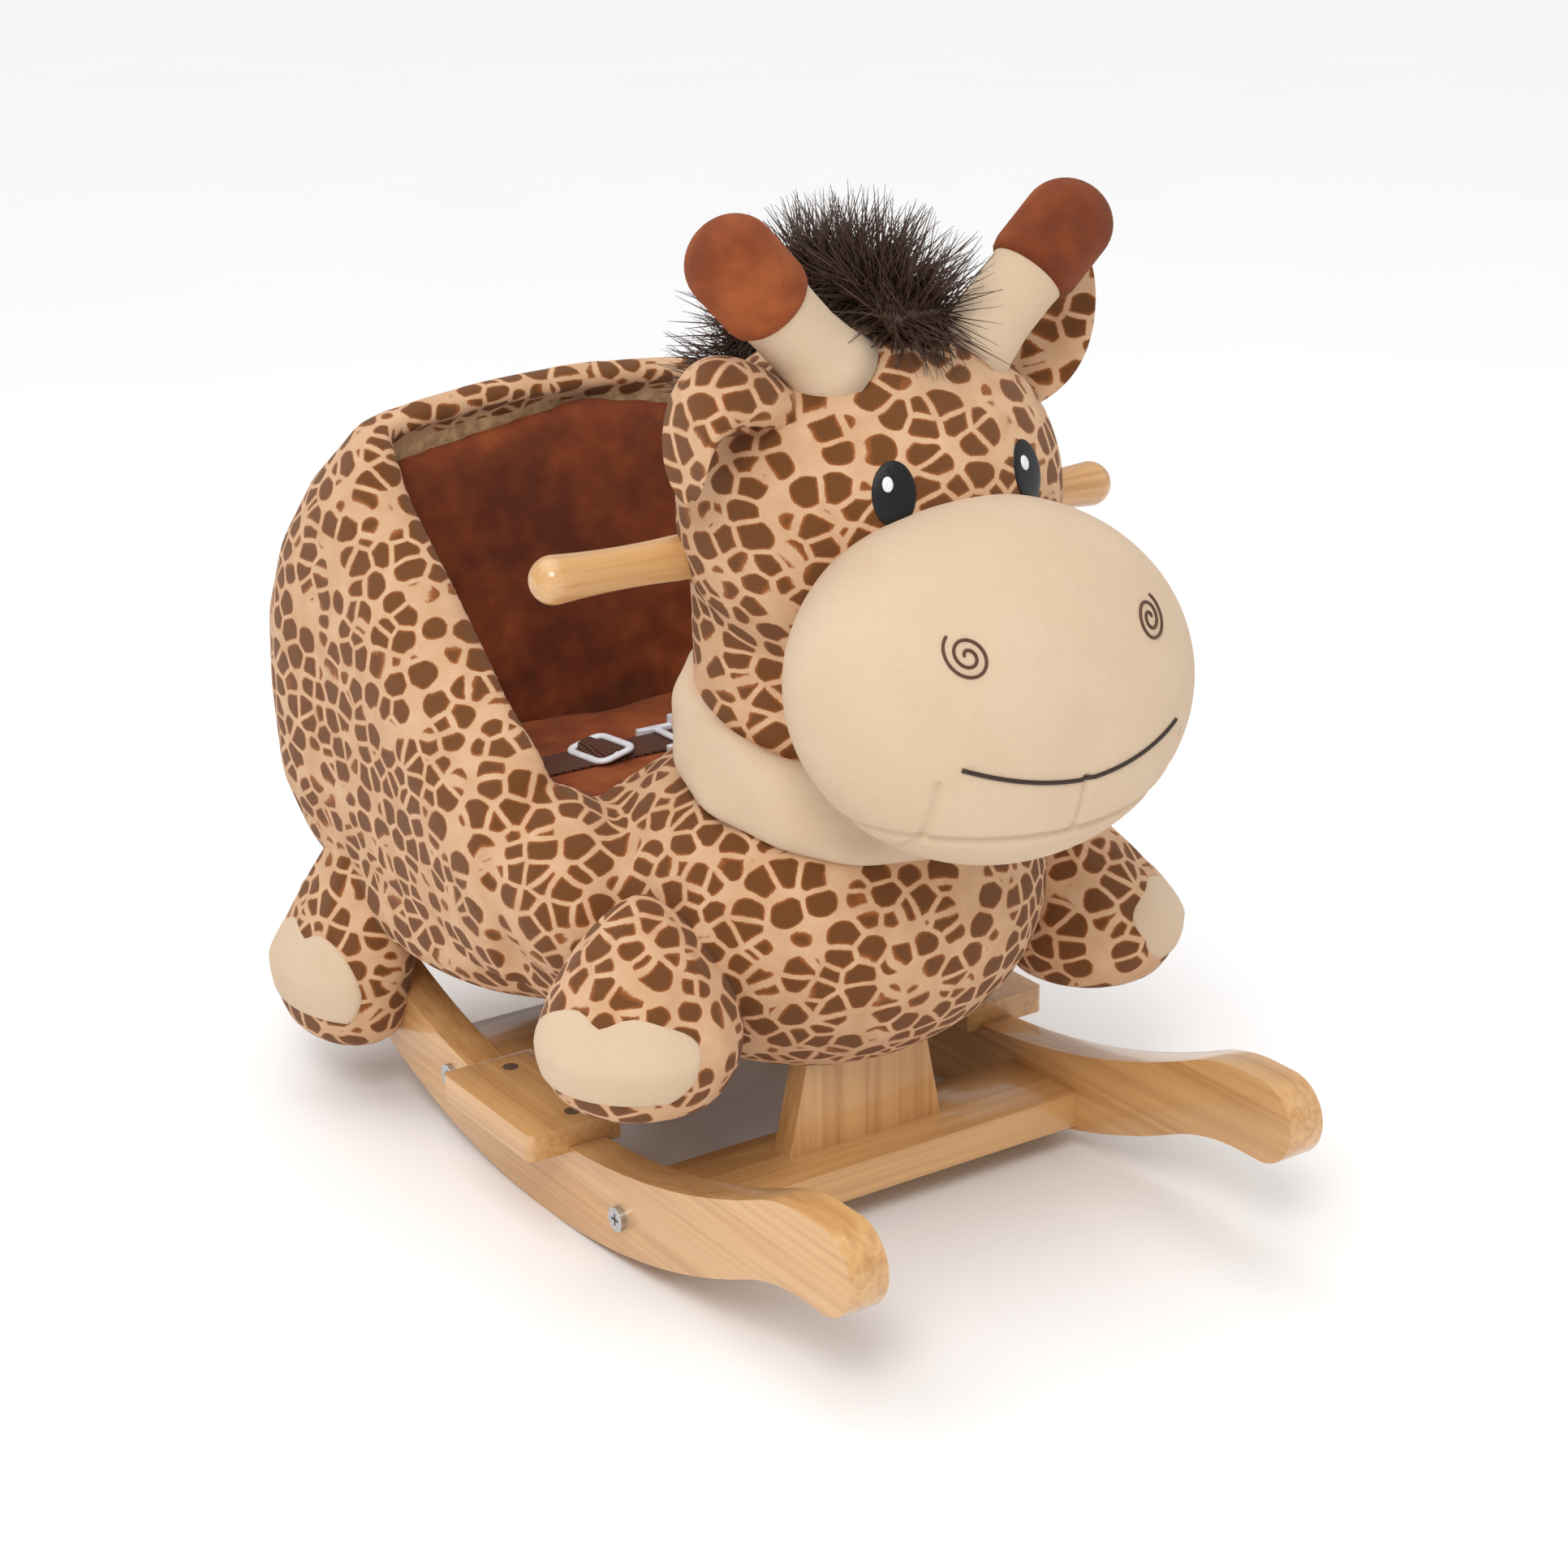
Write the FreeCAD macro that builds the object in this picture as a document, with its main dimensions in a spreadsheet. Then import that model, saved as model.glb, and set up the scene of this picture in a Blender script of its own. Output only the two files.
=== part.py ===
import FreeCAD, Part
import math
import os
import re

# Plush giraffe rocker: a stuffed bucket seat animal on a varnished wooden rocking frame.
# The giraffe faces -Y, its left side is +X, and the runners touch the floor at z = 0.
# The origin lies on the floor under the middle of the runners.

os.makedirs("parts", exist_ok=True)
doc = FreeCAD.newDocument("giraffe_rocker")
V = FreeCAD.Vector

# ---------------------------------------------------------------- driving dimensions (mm)
SIZES = {
    # clearances
    "soft_gap": 0.3, "fit_gap": 0.2, "snug_gap": 0.05,
    # runners
    "runner_thick": 20, "runner_inside_half": 113.7, "runner_half_length": 258.4,
    "rocker_radius": 411, "rocker_arc_half": 180, "toe_under_radius": 103,
    "runner_mid_height": 42.5, "runner_top_radius": 450, "top_arc_half": 190, "toe_over_radius": 83,
    # cross bars and posts
    "bar_width": 50, "bar_thick": 18, "front_bar_y": -83, "rear_bar_y": 94,
    "front_bar_z": 16.8, "rear_bar_z": 27,
    "post_thick": 13.4, "post_foot_width": 90, "post_slant": 12, "front_post_y": -79, "rear_post_y": 94,
    # footrests
    "footrest_thick": 14, "footrest_sink": 2, "footrest_length": 86, "footrest_width": 50,
    "footrest_y": 13.4, "footrest_inside_half": 105, "footrest_corner": 4,
    # fasteners
    "bolt_dia": 6, "bolt_head_dia": 12, "bolt_head_high": 3, "bolt_reach": 35, "bolt_offset": 7.5,
    "nut_dia": 10, "nut_length": 14, "dowel_dia": 8, "dowel_half": 16, "dowel_offset": 12,
    "screw_dia": 4, "screw_head_dia": 8, "screw_head_high": 2.6,
    "footrest_screw_length": 30, "board_screw_length": 36,
    # inner plywood chair and neck post
    "chair_board_z": 148, "chair_board_thick": 12, "chair_tongue_half": 50, "chair_tongue_front": -96,
    "wall_board_thick": 9, "neck_post_y": -58.5, "neck_post_thick": 18, "neck_post_half": 30,
    "neck_post_top": 350,
    # seat
    "seat_half": 116, "seat_front": 10, "seat_back": 162, "pad_thick": 12, "cushion_top": 192,
    "seat_outer_half": 160, "seat_rear": 256, "rim_front_z": 226, "rim_bend_y": 38, "rim_bend_z": 246,
    "rim_rear_z": 352, "back_top_z": 371, "rim_cap": 11,
    # barrel and chest
    "belly_z": 66, "barrel_half": 150, "barrel_front": 0, "barrel_corner": 80, "barrel_bottom_radius": 62,
    "chest_y": -46, "chest_z": 155, "chest_half": 108, "chest_high": 85,
    # neck, head, muzzle
    "neck_y": -63, "neck_z": 200, "neck_half": 66, "neck_sink": 24,
    "collar_half": 86, "collar_y": -66, "collar_z": 222, "collar_high": 50,
    "collar_tilt": 22,
    "head_y": -85, "head_z": 354, "head_half": 93, "head_high": 79,
    "muzzle_y": -175, "muzzle_z": 288, "muzzle_half": 101, "muzzle_deep": 74,
    "eye_half_spacing": 32, "eye_rise": 21, "eye_width": 21, "eye_height": 28,
    # handle
    "grip_z": 332, "grip_reach": 161, "grip_dia": 20.5, "grip_waist_dia": 19, "grip_bulge_dia": 22,
    "rod_dia": 8, "rod_reach": 62,
    # horns, ears, mane
    "horn_root_half": 34, "horn_root_y": -105, "horn_root_z": 415, "horn_lean": 45, "horn_length": 62,
    "horn_root_dia": 34, "horn_neck_dia": 25, "bulb_dia": 46, "bulb_overlap": 12,
    "ear_length": 64, "ear_width": 21, "ear_thick": 10, "ear_y": -76, "ear_root_half": 76, "ear_root_z": 398,
    "ear_left_rise": 48, "ear_right_rise": 4,
    "mane_half": 18, "mane_radius": 112,
    # feet
    "foot_radius": 46, "front_foot_x": 130, "front_foot_y": -92,
    "front_foot_z": 122,
    "rear_foot_half": 32, "rear_foot_radius": 50, "toe_patch_half": 25, "rear_foot_x": 150,
    "rear_foot_y": 175, "rear_foot_z": 73, "patch_thick": 1.5,
    # lap belt
    "belt_y": 70, "belt_width": 25, "belt_thick": 1.6, "belt_lift": 3, "belt_end": 132,
    "slide_bar": 4, "slide_thick": 2, "slide_length": 28, "right_slide_x": -52, "left_slide_x": 88,
    "buckle_mouth_x": 6, "buckle_length": 40, "buckle_width": 38, "buckle_thick": 10,
    "tongue_depth": 16, "tongue_thick": 4.4,
}

sheet = doc.addObject("Spreadsheet::Sheet", "Sizes")
for row, (name, value) in enumerate(SIZES.items(), start=1):
    sheet.set(f"A{row}", name)
    sheet.set(f"B{row}", str(value))
    sheet.setAlias(f"B{row}", name)
doc.recompute()


def size(name):
    """Value of a named size, in mm."""
    return float(sheet.get(name))


def toe_height():
    """Height of the runner's flat toe top, from its top arc and the arc that eases out of it."""
    turn = math.asin(size("top_arc_half") / size("runner_top_radius"))
    rise = (size("runner_top_radius") + size("toe_over_radius")) * (1 - math.cos(turn))
    return size("runner_mid_height") + rise


def bound(text):
    """Expression text with every size name pointed at the sheet."""
    word = lambda match: "Sizes." + match.group(0) if match.group(0) in SIZES else match.group(0)
    return re.sub(r"[a-z_]+", word, str(text))


def place(item, x, y, z, turn=None):
    """Bind an object's position, with an optional fixed turn."""
    if turn is not None:
        item.Placement = FreeCAD.Placement(V(0, 0, 0), turn)
    for axis, text in zip("xyz", (x, y, z)):
        item.setExpression("Placement.Base." + axis, bound(text))
    return item


# ---------------------------------------------------------------- primitives and booleans
ALONG_X = FreeCAD.Rotation(V(0, 1, 0), 90)
ALONG_Y = FreeCAD.Rotation(V(1, 0, 0), -90)


def block(name, x_low, x_high, y_low, y_high, z_low, z_high):
    item = doc.addObject("Part::Box", name)
    for prop, low, high in (("Length", x_low, x_high), ("Width", y_low, y_high), ("Height", z_low, z_high)):
        item.setExpression(prop, bound(f"({high}) - ({low})"))
    return place(item, x_low, y_low, z_low)


def rod(name, dia, length, x, y, z, turn=None):
    item = doc.addObject("Part::Cylinder", name)
    item.setExpression("Radius", bound(f"({dia}) / 2"))
    item.setExpression("Height", bound(length))
    return place(item, x, y, z, turn)


def taper(name, dia_low, dia_high, length, x, y, z, turn=None):
    item = doc.addObject("Part::Cone", name)
    item.setExpression("Radius1", bound(f"({dia_low}) / 2"))
    item.setExpression("Radius2", bound(f"({dia_high}) / 2"))
    item.setExpression("Height", bound(length))
    return place(item, x, y, z, turn)


def ball(name, radius, x, y, z):
    item = doc.addObject("Part::Sphere", name)
    item.setExpression("Radius", bound(radius))
    return place(item, x, y, z)


def fuse(name, *items):
    item = doc.addObject("Part::MultiFuse", name)
    item.Shapes = list(items)
    item.Refine = False
    return item


def cut(name, base, *tools):
    tool = tools[0]
    if len(tools) > 1:
        tool = fuse(name + "_tools", *tools)
    item = doc.addObject("Part::Cut", name)
    item.Base, item.Tool = base, tool
    item.Refine = False
    return item


def common(name, *items):
    item = doc.addObject("Part::MultiCommon", name)
    item.Shapes = list(items)
    item.Refine = False
    return item


def mirrored(name, source):
    item = doc.addObject("Part::Mirroring", name)
    item.Source = source
    item.Base, item.Normal = V(0, 0, 0), V(1, 0, 0)
    return item


def rounded(name, face, half, sides="all"):
    """A block's edges rounded: all of them, or only those along one axis."""
    item = doc.addObject("Part::Fillet", name)
    item.Base = face
    doc.recompute()
    chosen = []
    for number, edge in enumerate(face.Shape.Edges, start=1):
        along = (edge.Vertexes[-1].Point - edge.Vertexes[0].Point).normalize()
        if sides == "all" or abs(along.dot(sides)) > 0.9:
            chosen.append((number, half, half))
    item.Edges = chosen
    return item


# ---------------------------------------------------------------- outlines
PLANES = {
    "YZ": (FreeCAD.Rotation(V(1, 1, 1), 120), V(1, 0, 0)),
    "XZ": (FreeCAD.Rotation(V(1, 0, 0), 90), V(0, 1, 0)),
    "XY": (FreeCAD.Rotation(), V(0, 0, 1)),
}


def corner_points(before, here, after, radius):
    """Start, middle and end of the arc that rounds one corner of an outline."""
    back = (before - here).normalize()
    ahead = (after - here).normalize()
    half_turn = back.getAngle(ahead) / 2
    reach = radius / math.tan(half_turn)
    middle = (back + ahead).normalize() * (radius / math.sin(half_turn) - radius)
    return here + back * reach, here + middle, here + ahead * reach


def rounded_outline(points):
    """Lines and arcs of a closed outline, from (u, v, corner radius) points."""
    places = [V(u, v, 0) for u, v, radius in points]
    count = len(points)
    corners = []
    for number, (u, v, radius) in enumerate(points):
        here = places[number]
        if radius:
            corners.append(corner_points(places[number - 1], here, places[(number + 1) % count], radius))
        else:
            corners.append((here, None, here))
    pieces = []
    for number, (start, middle, end) in enumerate(corners):
        if middle is not None:
            pieces.append(Part.Arc(start, middle, end))
        following = corners[(number + 1) % count][0]
        if (following - end).Length > 1e-6:
            pieces.append(Part.LineSegment(end, following))
    return pieces


def disc_arcs(half_length, radius):
    """Upper half of a flattened ball as three tangent arcs, from (-half_length, 0) to (half_length, 0)."""
    tip = 0.9 * half_length * half_length / radius
    broad = ((radius - tip) ** 2 + half_length ** 2 - tip ** 2) / (2 * (half_length - tip))
    towards = V(radius - tip, broad - half_length, 0).normalize()
    shoulder = V(towards.y * tip, radius - tip + towards.x * tip, 0)
    opening = math.pi / 2 - math.atan2(towards.y, towards.x)
    flank = V(half_length - broad + broad * math.cos(opening / 2), broad * math.sin(opening / 2), 0)
    return [Part.Arc(V(-half_length, 0, 0), V(-flank.x, flank.y, 0), V(-shoulder.x, shoulder.y, 0)),
            Part.Arc(V(-shoulder.x, shoulder.y, 0), V(0, radius, 0), shoulder),
            Part.Arc(shoulder, flank, V(half_length, 0, 0))]


def capsule_arcs(half_length, radius):
    """Upper half of a capsule, whose faces turn into spheres and a cylinder."""
    straight, diagonal = half_length - radius, radius * math.sqrt(0.5)
    left, right = V(-straight, radius, 0), V(straight, radius, 0)
    return [Part.Arc(V(-half_length, 0, 0), V(-straight - diagonal, diagonal, 0), left),
            Part.LineSegment(left, right),
            Part.Arc(right, V(straight + diagonal, diagonal, 0), V(half_length, 0, 0))]


def bun(name, half_length, radius, x, y, z, grow=0, turn=None, section=disc_arcs):
    """Stuffed shape turned about its own X axis from half an outline, by default a flattened ball's."""
    half_length, radius = half_length + grow, radius + grow
    drawing = doc.addObject("Sketcher::SketchObject", name + "_section")
    drawing.addGeometry(section(half_length, radius), False)
    drawing.addGeometry(Part.LineSegment(V(half_length, 0, 0), V(-half_length, 0, 0)), False)
    item = doc.addObject("Part::Revolution", name)
    item.Source = drawing
    item.Axis, item.Base = V(1, 0, 0), V(0, 0, 0)
    item.Angle = 360
    item.Solid = True
    return place(item, x, y, z, turn)


UPRIGHT = FreeCAD.Rotation(V(0, 1, 0), -90)


def slab(name, plane, pieces, low, thick):
    """An outline drawn in one plane, pushed out from low by thick along the plane's normal."""
    turn, normal = PLANES[plane]
    drawing = doc.addObject("Sketcher::SketchObject", name + "_outline")
    drawing.addGeometry(pieces, False)
    axis = "xyz"[[normal.x, normal.y, normal.z].index(1)]
    where = {"x": 0, "y": 0, "z": 0}
    where[axis] = low
    place(drawing, where["x"], where["y"], where["z"], turn)
    item = doc.addObject("Part::Extrusion", name)
    item.Base = drawing
    item.DirMode = "Custom"
    item.Dir = normal
    item.setExpression("LengthFwd", bound(thick))
    item.Solid = True
    return item


nodes = {}


def node(name, item):
    """Name one sub-part for export."""
    item.Label = name
    nodes[name] = item
    return item


# ---------------------------------------------------------------- runners
def runner_outline():
    """Rocking arc underneath, a shallower arc on top, and two blunt S-shaped toes."""
    under, over = size("rocker_radius"), size("runner_top_radius")
    under_half, over_half = size("rocker_arc_half"), size("top_arc_half")
    under_blend, over_blend = size("toe_under_radius"), size("toe_over_radius")
    middle = size("runner_mid_height")
    under_turn, over_turn = math.asin(under_half / under), math.asin(over_half / over)
    under_z = under * (1 - math.cos(under_turn))
    over_z = middle + over * (1 - math.cos(over_turn))
    flat_low = under_z + under_blend * (1 - math.cos(under_turn))
    flat_high = toe_height()
    low_y = under_half + under_blend * math.sin(under_turn)
    high_y = over_half + over_blend * math.sin(over_turn)
    nose = (flat_high - flat_low) / 2
    nose_y = size("runner_half_length") - nose

    def blend(side, y_flat, z_flat, radius, turn, y_end, z_end):
        half = turn / 2
        mid = V(side * (y_flat - radius * math.sin(half)), z_flat - radius * (1 - math.cos(half)), 0)
        return Part.Arc(V(side * y_flat, z_flat, 0), mid, V(side * y_end, z_end, 0))

    pieces = [
        Part.Arc(V(-under_half, under_z, 0), V(0, 0, 0), V(under_half, under_z, 0)),
        Part.Arc(V(-over_half, over_z, 0), V(0, middle, 0), V(over_half, over_z, 0)),
    ]
    for side in (-1, 1):
        pieces.append(blend(side, low_y, flat_low, under_blend, under_turn, under_half, under_z))
        pieces.append(blend(side, high_y, flat_high, over_blend, over_turn, over_half, over_z))
        pieces.append(Part.LineSegment(V(side * low_y, flat_low, 0), V(side * nose_y, flat_low, 0)))
        pieces.append(Part.LineSegment(V(side * high_y, flat_high, 0), V(side * nose_y, flat_high, 0)))
        pieces.append(Part.Arc(V(side * nose_y, flat_low, 0),
                               V(side * (nose_y + nose), flat_low + nose, 0),
                               V(side * nose_y, flat_high, 0)))
    return pieces


RUNNER_OUT = "(runner_inside_half + runner_thick)"
FOOTREST_Z = "(runner_mid_height - footrest_sink)"
BARS = (("front", "front_bar_y", "front_bar_z"), ("rear", "rear_bar_y", "rear_bar_z"))
BOLT_Y = {"front": "(front_bar_y + bolt_offset)", "rear": "(rear_bar_y - bolt_offset)"}
DOWEL_Y = {"front": "(front_bar_y - dowel_offset)", "rear": "(rear_bar_y + dowel_offset)"}
FOOTREST_SCREW_STEP = "footrest_length * 0.35"
NUT_X = "(runner_inside_half - bolt_reach * 0.7)"


def bar_axis_tools(kind, dia, gap, reach_in, reach_out, middle_y):
    """Cylinders along X at each joint of a cross bar with the +X runner."""
    return [rod(f"{kind}_{end}", f"{dia} + 2 * ({gap})", f"({reach_in}) + ({reach_out})",
                f"runner_inside_half - ({reach_in})", middle_y[end], f"{bar_z} + bar_thick / 2", ALONG_X)
            for end, bar_y, bar_z in BARS]


runner_blank = slab("runner_blank", "YZ", runner_outline(), "runner_inside_half", "runner_thick")
footrest_notch = block("footrest_notch", "runner_inside_half - 1", RUNNER_OUT + " + 1",
                       "footrest_y - footrest_length / 2 - fit_gap",
                       "footrest_y + footrest_length / 2 + fit_gap", FOOTREST_Z, "runner_mid_height + 20")
footrest_pilots = [
    rod(f"footrest_pilot_{number}", "screw_dia + 2 * snug_gap", "30", "runner_inside_half + runner_thick / 2",
        f"footrest_y + ({step}) * {FOOTREST_SCREW_STEP}", FOOTREST_Z + " - 22")
    for number, step in enumerate((-1, 1))]
left_runner = cut("left_runner", runner_blank, footrest_notch, *footrest_pilots,
                  *bar_axis_tools("runner_bolt_hole", "bolt_dia", "fit_gap", "1", "runner_thick + 1", BOLT_Y),
                  *bar_axis_tools("runner_dowel_hole", "dowel_dia", "snug_gap", "1", "dowel_half + fit_gap",
                                  DOWEL_Y))
node("runner_left", left_runner)
node("runner_right", mirrored("right_runner", left_runner))

# ---------------------------------------------------------------- cross bars, their bolts, nuts and dowels
for end, bar_y, bar_z in BARS:
    blank = block(f"{end}_bar_blank", "-runner_inside_half", "runner_inside_half",
                  f"{bar_y} - bar_width / 2", f"{bar_y} + bar_width / 2", bar_z, f"{bar_z} + bar_thick")
    bores = []
    for side, tag in ((1, "left"), (-1, "right")):
        bolt_start = "runner_inside_half - bolt_reach - 2" if side > 0 else "-runner_inside_half - 1"
        bores.append(rod(f"{end}_bolt_bore_{tag}", "bolt_dia + 2 * fit_gap", "bolt_reach + 3", bolt_start,
                         BOLT_Y[end], f"{bar_z} + bar_thick / 2", ALONG_X))
        dowel_start = "runner_inside_half - dowel_half - fit_gap" if side > 0 else "-runner_inside_half - 1"
        bores.append(rod(f"{end}_dowel_bore_{tag}", "dowel_dia + 2 * snug_gap", "dowel_half + fit_gap + 1",
                         dowel_start, DOWEL_Y[end], f"{bar_z} + bar_thick / 2", ALONG_X))
        bores.append(rod(f"{end}_nut_bore_{tag}", "nut_dia + 2 * snug_gap",
                         "bar_thick / 2 + nut_length / 2 + 1 + snug_gap",
                         f"{side} * {NUT_X}", BOLT_Y[end], bar_z + " - 1"))
        bores.append(rod(f"{end}_post_pilot_{tag}", "screw_dia + 2 * snug_gap", "bar_thick + 2",
                         f"{side} * post_foot_width / 4", f"{end}_post_y", bar_z + " - 1"))
        bores.append(taper(f"{end}_post_sink_{tag}", "screw_head_dia + 2 * snug_gap",
                           "screw_dia + 2 * snug_gap", "screw_head_high + snug_gap",
                           f"{side} * post_foot_width / 4", f"{end}_post_y", bar_z))
    node(f"{end}_cross_bar", cut(f"{end}_bar", blank, *bores))


def bolt(name, middle_y, bar_z):
    """Pan head bolt with a cross recess, driven in from outside the +X runner."""
    at = (middle_y, f"{bar_z} + bar_thick / 2")
    shank = rod(name + "_shank", "bolt_dia", "runner_thick + bolt_reach",
                "runner_inside_half - bolt_reach", *at, ALONG_X)
    head = rod(name + "_head", "bolt_head_dia", "bolt_head_high", RUNNER_OUT, *at, ALONG_X)
    top = RUNNER_OUT + " + bolt_head_high"
    recesses = [block(f"{name}_recess_{number}", top + " - 1.6", top + " + 1", f"{at[0]} - {wide}",
                      f"{at[0]} + {wide}", f"{at[1]} - {tall}", f"{at[1]} + {tall}")
                for number, (wide, tall) in enumerate(((3, 0.6), (0.6, 3)))]
    return cut(name, fuse(name + "_blank", shank, head), *recesses)


left_bolts = [bolt(f"{end}_bolt", BOLT_Y[end], bar_z) for end, bar_y, bar_z in BARS]
NUT_THREAD_DIA = "bolt_dia + 2 * snug_gap"
left_nuts = [
    cut(f"{end}_nut",
        rod(f"{end}_nut_blank", "nut_dia", "nut_length", NUT_X, BOLT_Y[end],
            f"{bar_z} + bar_thick / 2 - nut_length / 2"),
        rod(f"{end}_nut_thread", NUT_THREAD_DIA, "nut_dia + 2", NUT_X + " - nut_dia / 2 - 1",
            BOLT_Y[end], f"{bar_z} + bar_thick / 2", ALONG_X))
    for end, bar_y, bar_z in BARS]
left_dowels = bar_axis_tools("dowel", "dowel_dia", "0", "dowel_half", "dowel_half", DOWEL_Y)


def group(name, items):
    """Separate like solids in one sub-part."""
    item = doc.addObject("Part::Compound", name)
    item.Links = list(items)
    return node(name, item)


def both_sides(items):
    return list(items) + [mirrored(item.Name + "_mirror", item) for item in items]


group("frame_bolts", both_sides(left_bolts))
group("barrel_nuts", both_sides(left_nuts))
group("frame_dowels", both_sides(left_dowels))

# ---------------------------------------------------------------- footrests and their screws
half_width, half_length = size("footrest_width") / 2, size("footrest_length") / 2
corner = size("footrest_corner")
footrest_x = size("footrest_inside_half") + half_width
plan = [(footrest_x - half_width, size("footrest_y") - half_length, 0),
        (footrest_x + half_width, size("footrest_y") - half_length, corner),
        (footrest_x + half_width, size("footrest_y") + half_length, corner),
        (footrest_x - half_width, size("footrest_y") + half_length, 0)]
footrest_blank = slab("footrest_blank", "XY", rounded_outline(plan), FOOTREST_Z, "footrest_thick")
FOOTREST_TOP = FOOTREST_Z + " + footrest_thick"


def wood_screw(name, x, y, top, length, grow="0"):
    """Countersunk screw, head up, with its head's top face at the given height."""
    head = taper(name + "_head", f"screw_dia + 2 * ({grow})", f"screw_head_dia + 2 * ({grow})",
                 "screw_head_high", x, y, f"{top} - screw_head_high")
    shank = rod(name + "_shank", f"screw_dia + 2 * ({grow})", f"{length} - screw_head_high + {grow}", x, y,
                f"{top} - ({length}) - {grow}")
    return fuse(name, head, shank)


FOOTREST_SCREW_X = "runner_inside_half + runner_thick / 2"
screw_holes = [wood_screw(f"footrest_hole_{number}", FOOTREST_SCREW_X,
                          f"footrest_y + ({step}) * {FOOTREST_SCREW_STEP}", FOOTREST_TOP,
                          "footrest_screw_length", "snug_gap")
               for number, step in enumerate((-1, 1))]
left_footrest = cut("left_footrest", footrest_blank, *screw_holes)
node("footrest_left", left_footrest)
node("footrest_right", mirrored("right_footrest", left_footrest))
footrest_screws = [wood_screw(f"footrest_screw_{number}", FOOTREST_SCREW_X,
                              f"footrest_y + ({step}) * {FOOTREST_SCREW_STEP}", FOOTREST_TOP,
                              "footrest_screw_length")
                   for number, step in enumerate((-1, 1))]
group("footrest_screws", both_sides(footrest_screws))

# ---------------------------------------------------------------- posts between the bars and the chair board
CHAIR_TOP = "(chair_board_z + chair_board_thick)"
slant = math.tan(math.radians(size("post_slant")))
board_screw_x = {}
post_screws, board_screws = [], []
for end, bar_y, bar_z in BARS:
    low = size(bar_z) + size("bar_thick")
    high = size("chair_board_z")
    foot = size("post_foot_width") / 2
    top = foot - slant * (high - low)
    board_screw_x[end] = top * 0.55
    shape = rounded_outline([(-foot, low, 0), (foot, low, 0), (top, high, 0), (-top, high, 0)])
    blank = slab(f"{end}_post_blank", "XZ", shape, f"{end}_post_y - post_thick / 2", "post_thick")
    pilots = []
    for side in (-1, 1):
        tag = "left" if side > 0 else "right"
        x = f"{side} * post_foot_width / 4"
        shank = rod(f"{end}_post_screw_shank_{tag}", "screw_dia", "bar_thick + 20", x, f"{end}_post_y", bar_z)
        head = taper(f"{end}_post_screw_head_{tag}", "screw_head_dia", "screw_dia", "screw_head_high", x,
                     f"{end}_post_y", bar_z)
        post_screws.append(fuse(f"{end}_post_screw_{tag}", shank, head))
        pilots.append(rod(f"{end}_post_low_pilot_{tag}", "screw_dia + 2 * snug_gap", "21", x, f"{end}_post_y",
                          f"{bar_z} + bar_thick - 1 + snug_gap"))
        board_x = side * board_screw_x[end]
        pilots.append(rod(f"{end}_post_high_pilot_{tag}", "screw_dia + 2 * snug_gap", "28", board_x,
                          f"{end}_post_y", "chair_board_z - 27"))
        board_screws.append(wood_screw(f"{end}_board_screw_{tag}", board_x, f"{end}_post_y", CHAIR_TOP,
                                       "board_screw_length"))
    node(f"{end}_post", cut(f"{end}_post_cut", blank, *pilots))
group("post_screws", post_screws)

# ---------------------------------------------------------------- inner plywood chair
PAD_OUT = "(seat_half + pad_thick)"
WALL_IN = f"({PAD_OUT} + soft_gap)"
WALL_OUT = f"({WALL_IN} + wall_board_thick)"
BOLSTER_IN = f"({WALL_OUT} + soft_gap)"
PAD_REAR = "(seat_back + pad_thick)"
BACK_BOARD_Y = f"({PAD_REAR} + soft_gap)"
wall_in = size("seat_half") + size("pad_thick") + size("soft_gap")
wall_out = wall_in + size("wall_board_thick")
back_board_y = size("seat_back") + size("pad_thick") + size("soft_gap")

chair_half = size("seat_half") + size("pad_thick")
tongue_half, tongue_front = size("chair_tongue_half"), size("chair_tongue_front")
chair_front, chair_rear = size("seat_front") + 2, back_board_y - 0.1
chair_plan = rounded_outline([
    (-tongue_half, tongue_front, 12), (tongue_half, tongue_front, 12), (tongue_half, chair_front, 0),
    (chair_half, chair_front, 8), (chair_half, chair_rear, 0), (-chair_half, chair_rear, 0),
    (-chair_half, chair_front, 8), (-tongue_half, chair_front, 0)])
chair_blank = slab("chair_blank", "XY", chair_plan, "chair_board_z", "chair_board_thick")
chair_holes = [wood_screw(f"{end}_board_hole_{side > 0}", side * board_screw_x[end], f"{end}_post_y",
                          CHAIR_TOP, "board_screw_length", "snug_gap")
               for end, _, _ in BARS for side in (-1, 1)]
neck_screws, neck_holes, neck_pilots = [], [], []
for side in (-1, 1):
    x = f"{side} * neck_post_half * 0.6"
    shank = rod(f"neck_screw_shank_{side > 0}", "screw_dia", "chair_board_thick + 24", x, "neck_post_y",
                "chair_board_z")
    head = taper(f"neck_screw_head_{side > 0}", "screw_head_dia", "screw_dia", "screw_head_high", x,
                 "neck_post_y", "chair_board_z")
    neck_screws.append(fuse(f"neck_screw_{side > 0}", shank, head))
    neck_holes.append(fuse(f"neck_hole_{side > 0}",
                           rod(f"neck_hole_shank_{side > 0}", "screw_dia + 2 * snug_gap",
                               "chair_board_thick + 2", x, "neck_post_y", "chair_board_z - 1"),
                           taper(f"neck_hole_head_{side > 0}", "screw_head_dia + 2 * snug_gap",
                                 "screw_dia + 2 * snug_gap", "screw_head_high + snug_gap", x, "neck_post_y",
                                 "chair_board_z")))
    neck_pilots.append(rod(f"neck_pilot_{side > 0}", "screw_dia + 2 * snug_gap", "26", x, "neck_post_y",
                           CHAIR_TOP + " - 1"))
node("chair_board", cut("chair_board_cut", chair_blank, *chair_holes, *neck_holes))
group("board_screws", board_screws + neck_screws)


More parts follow.
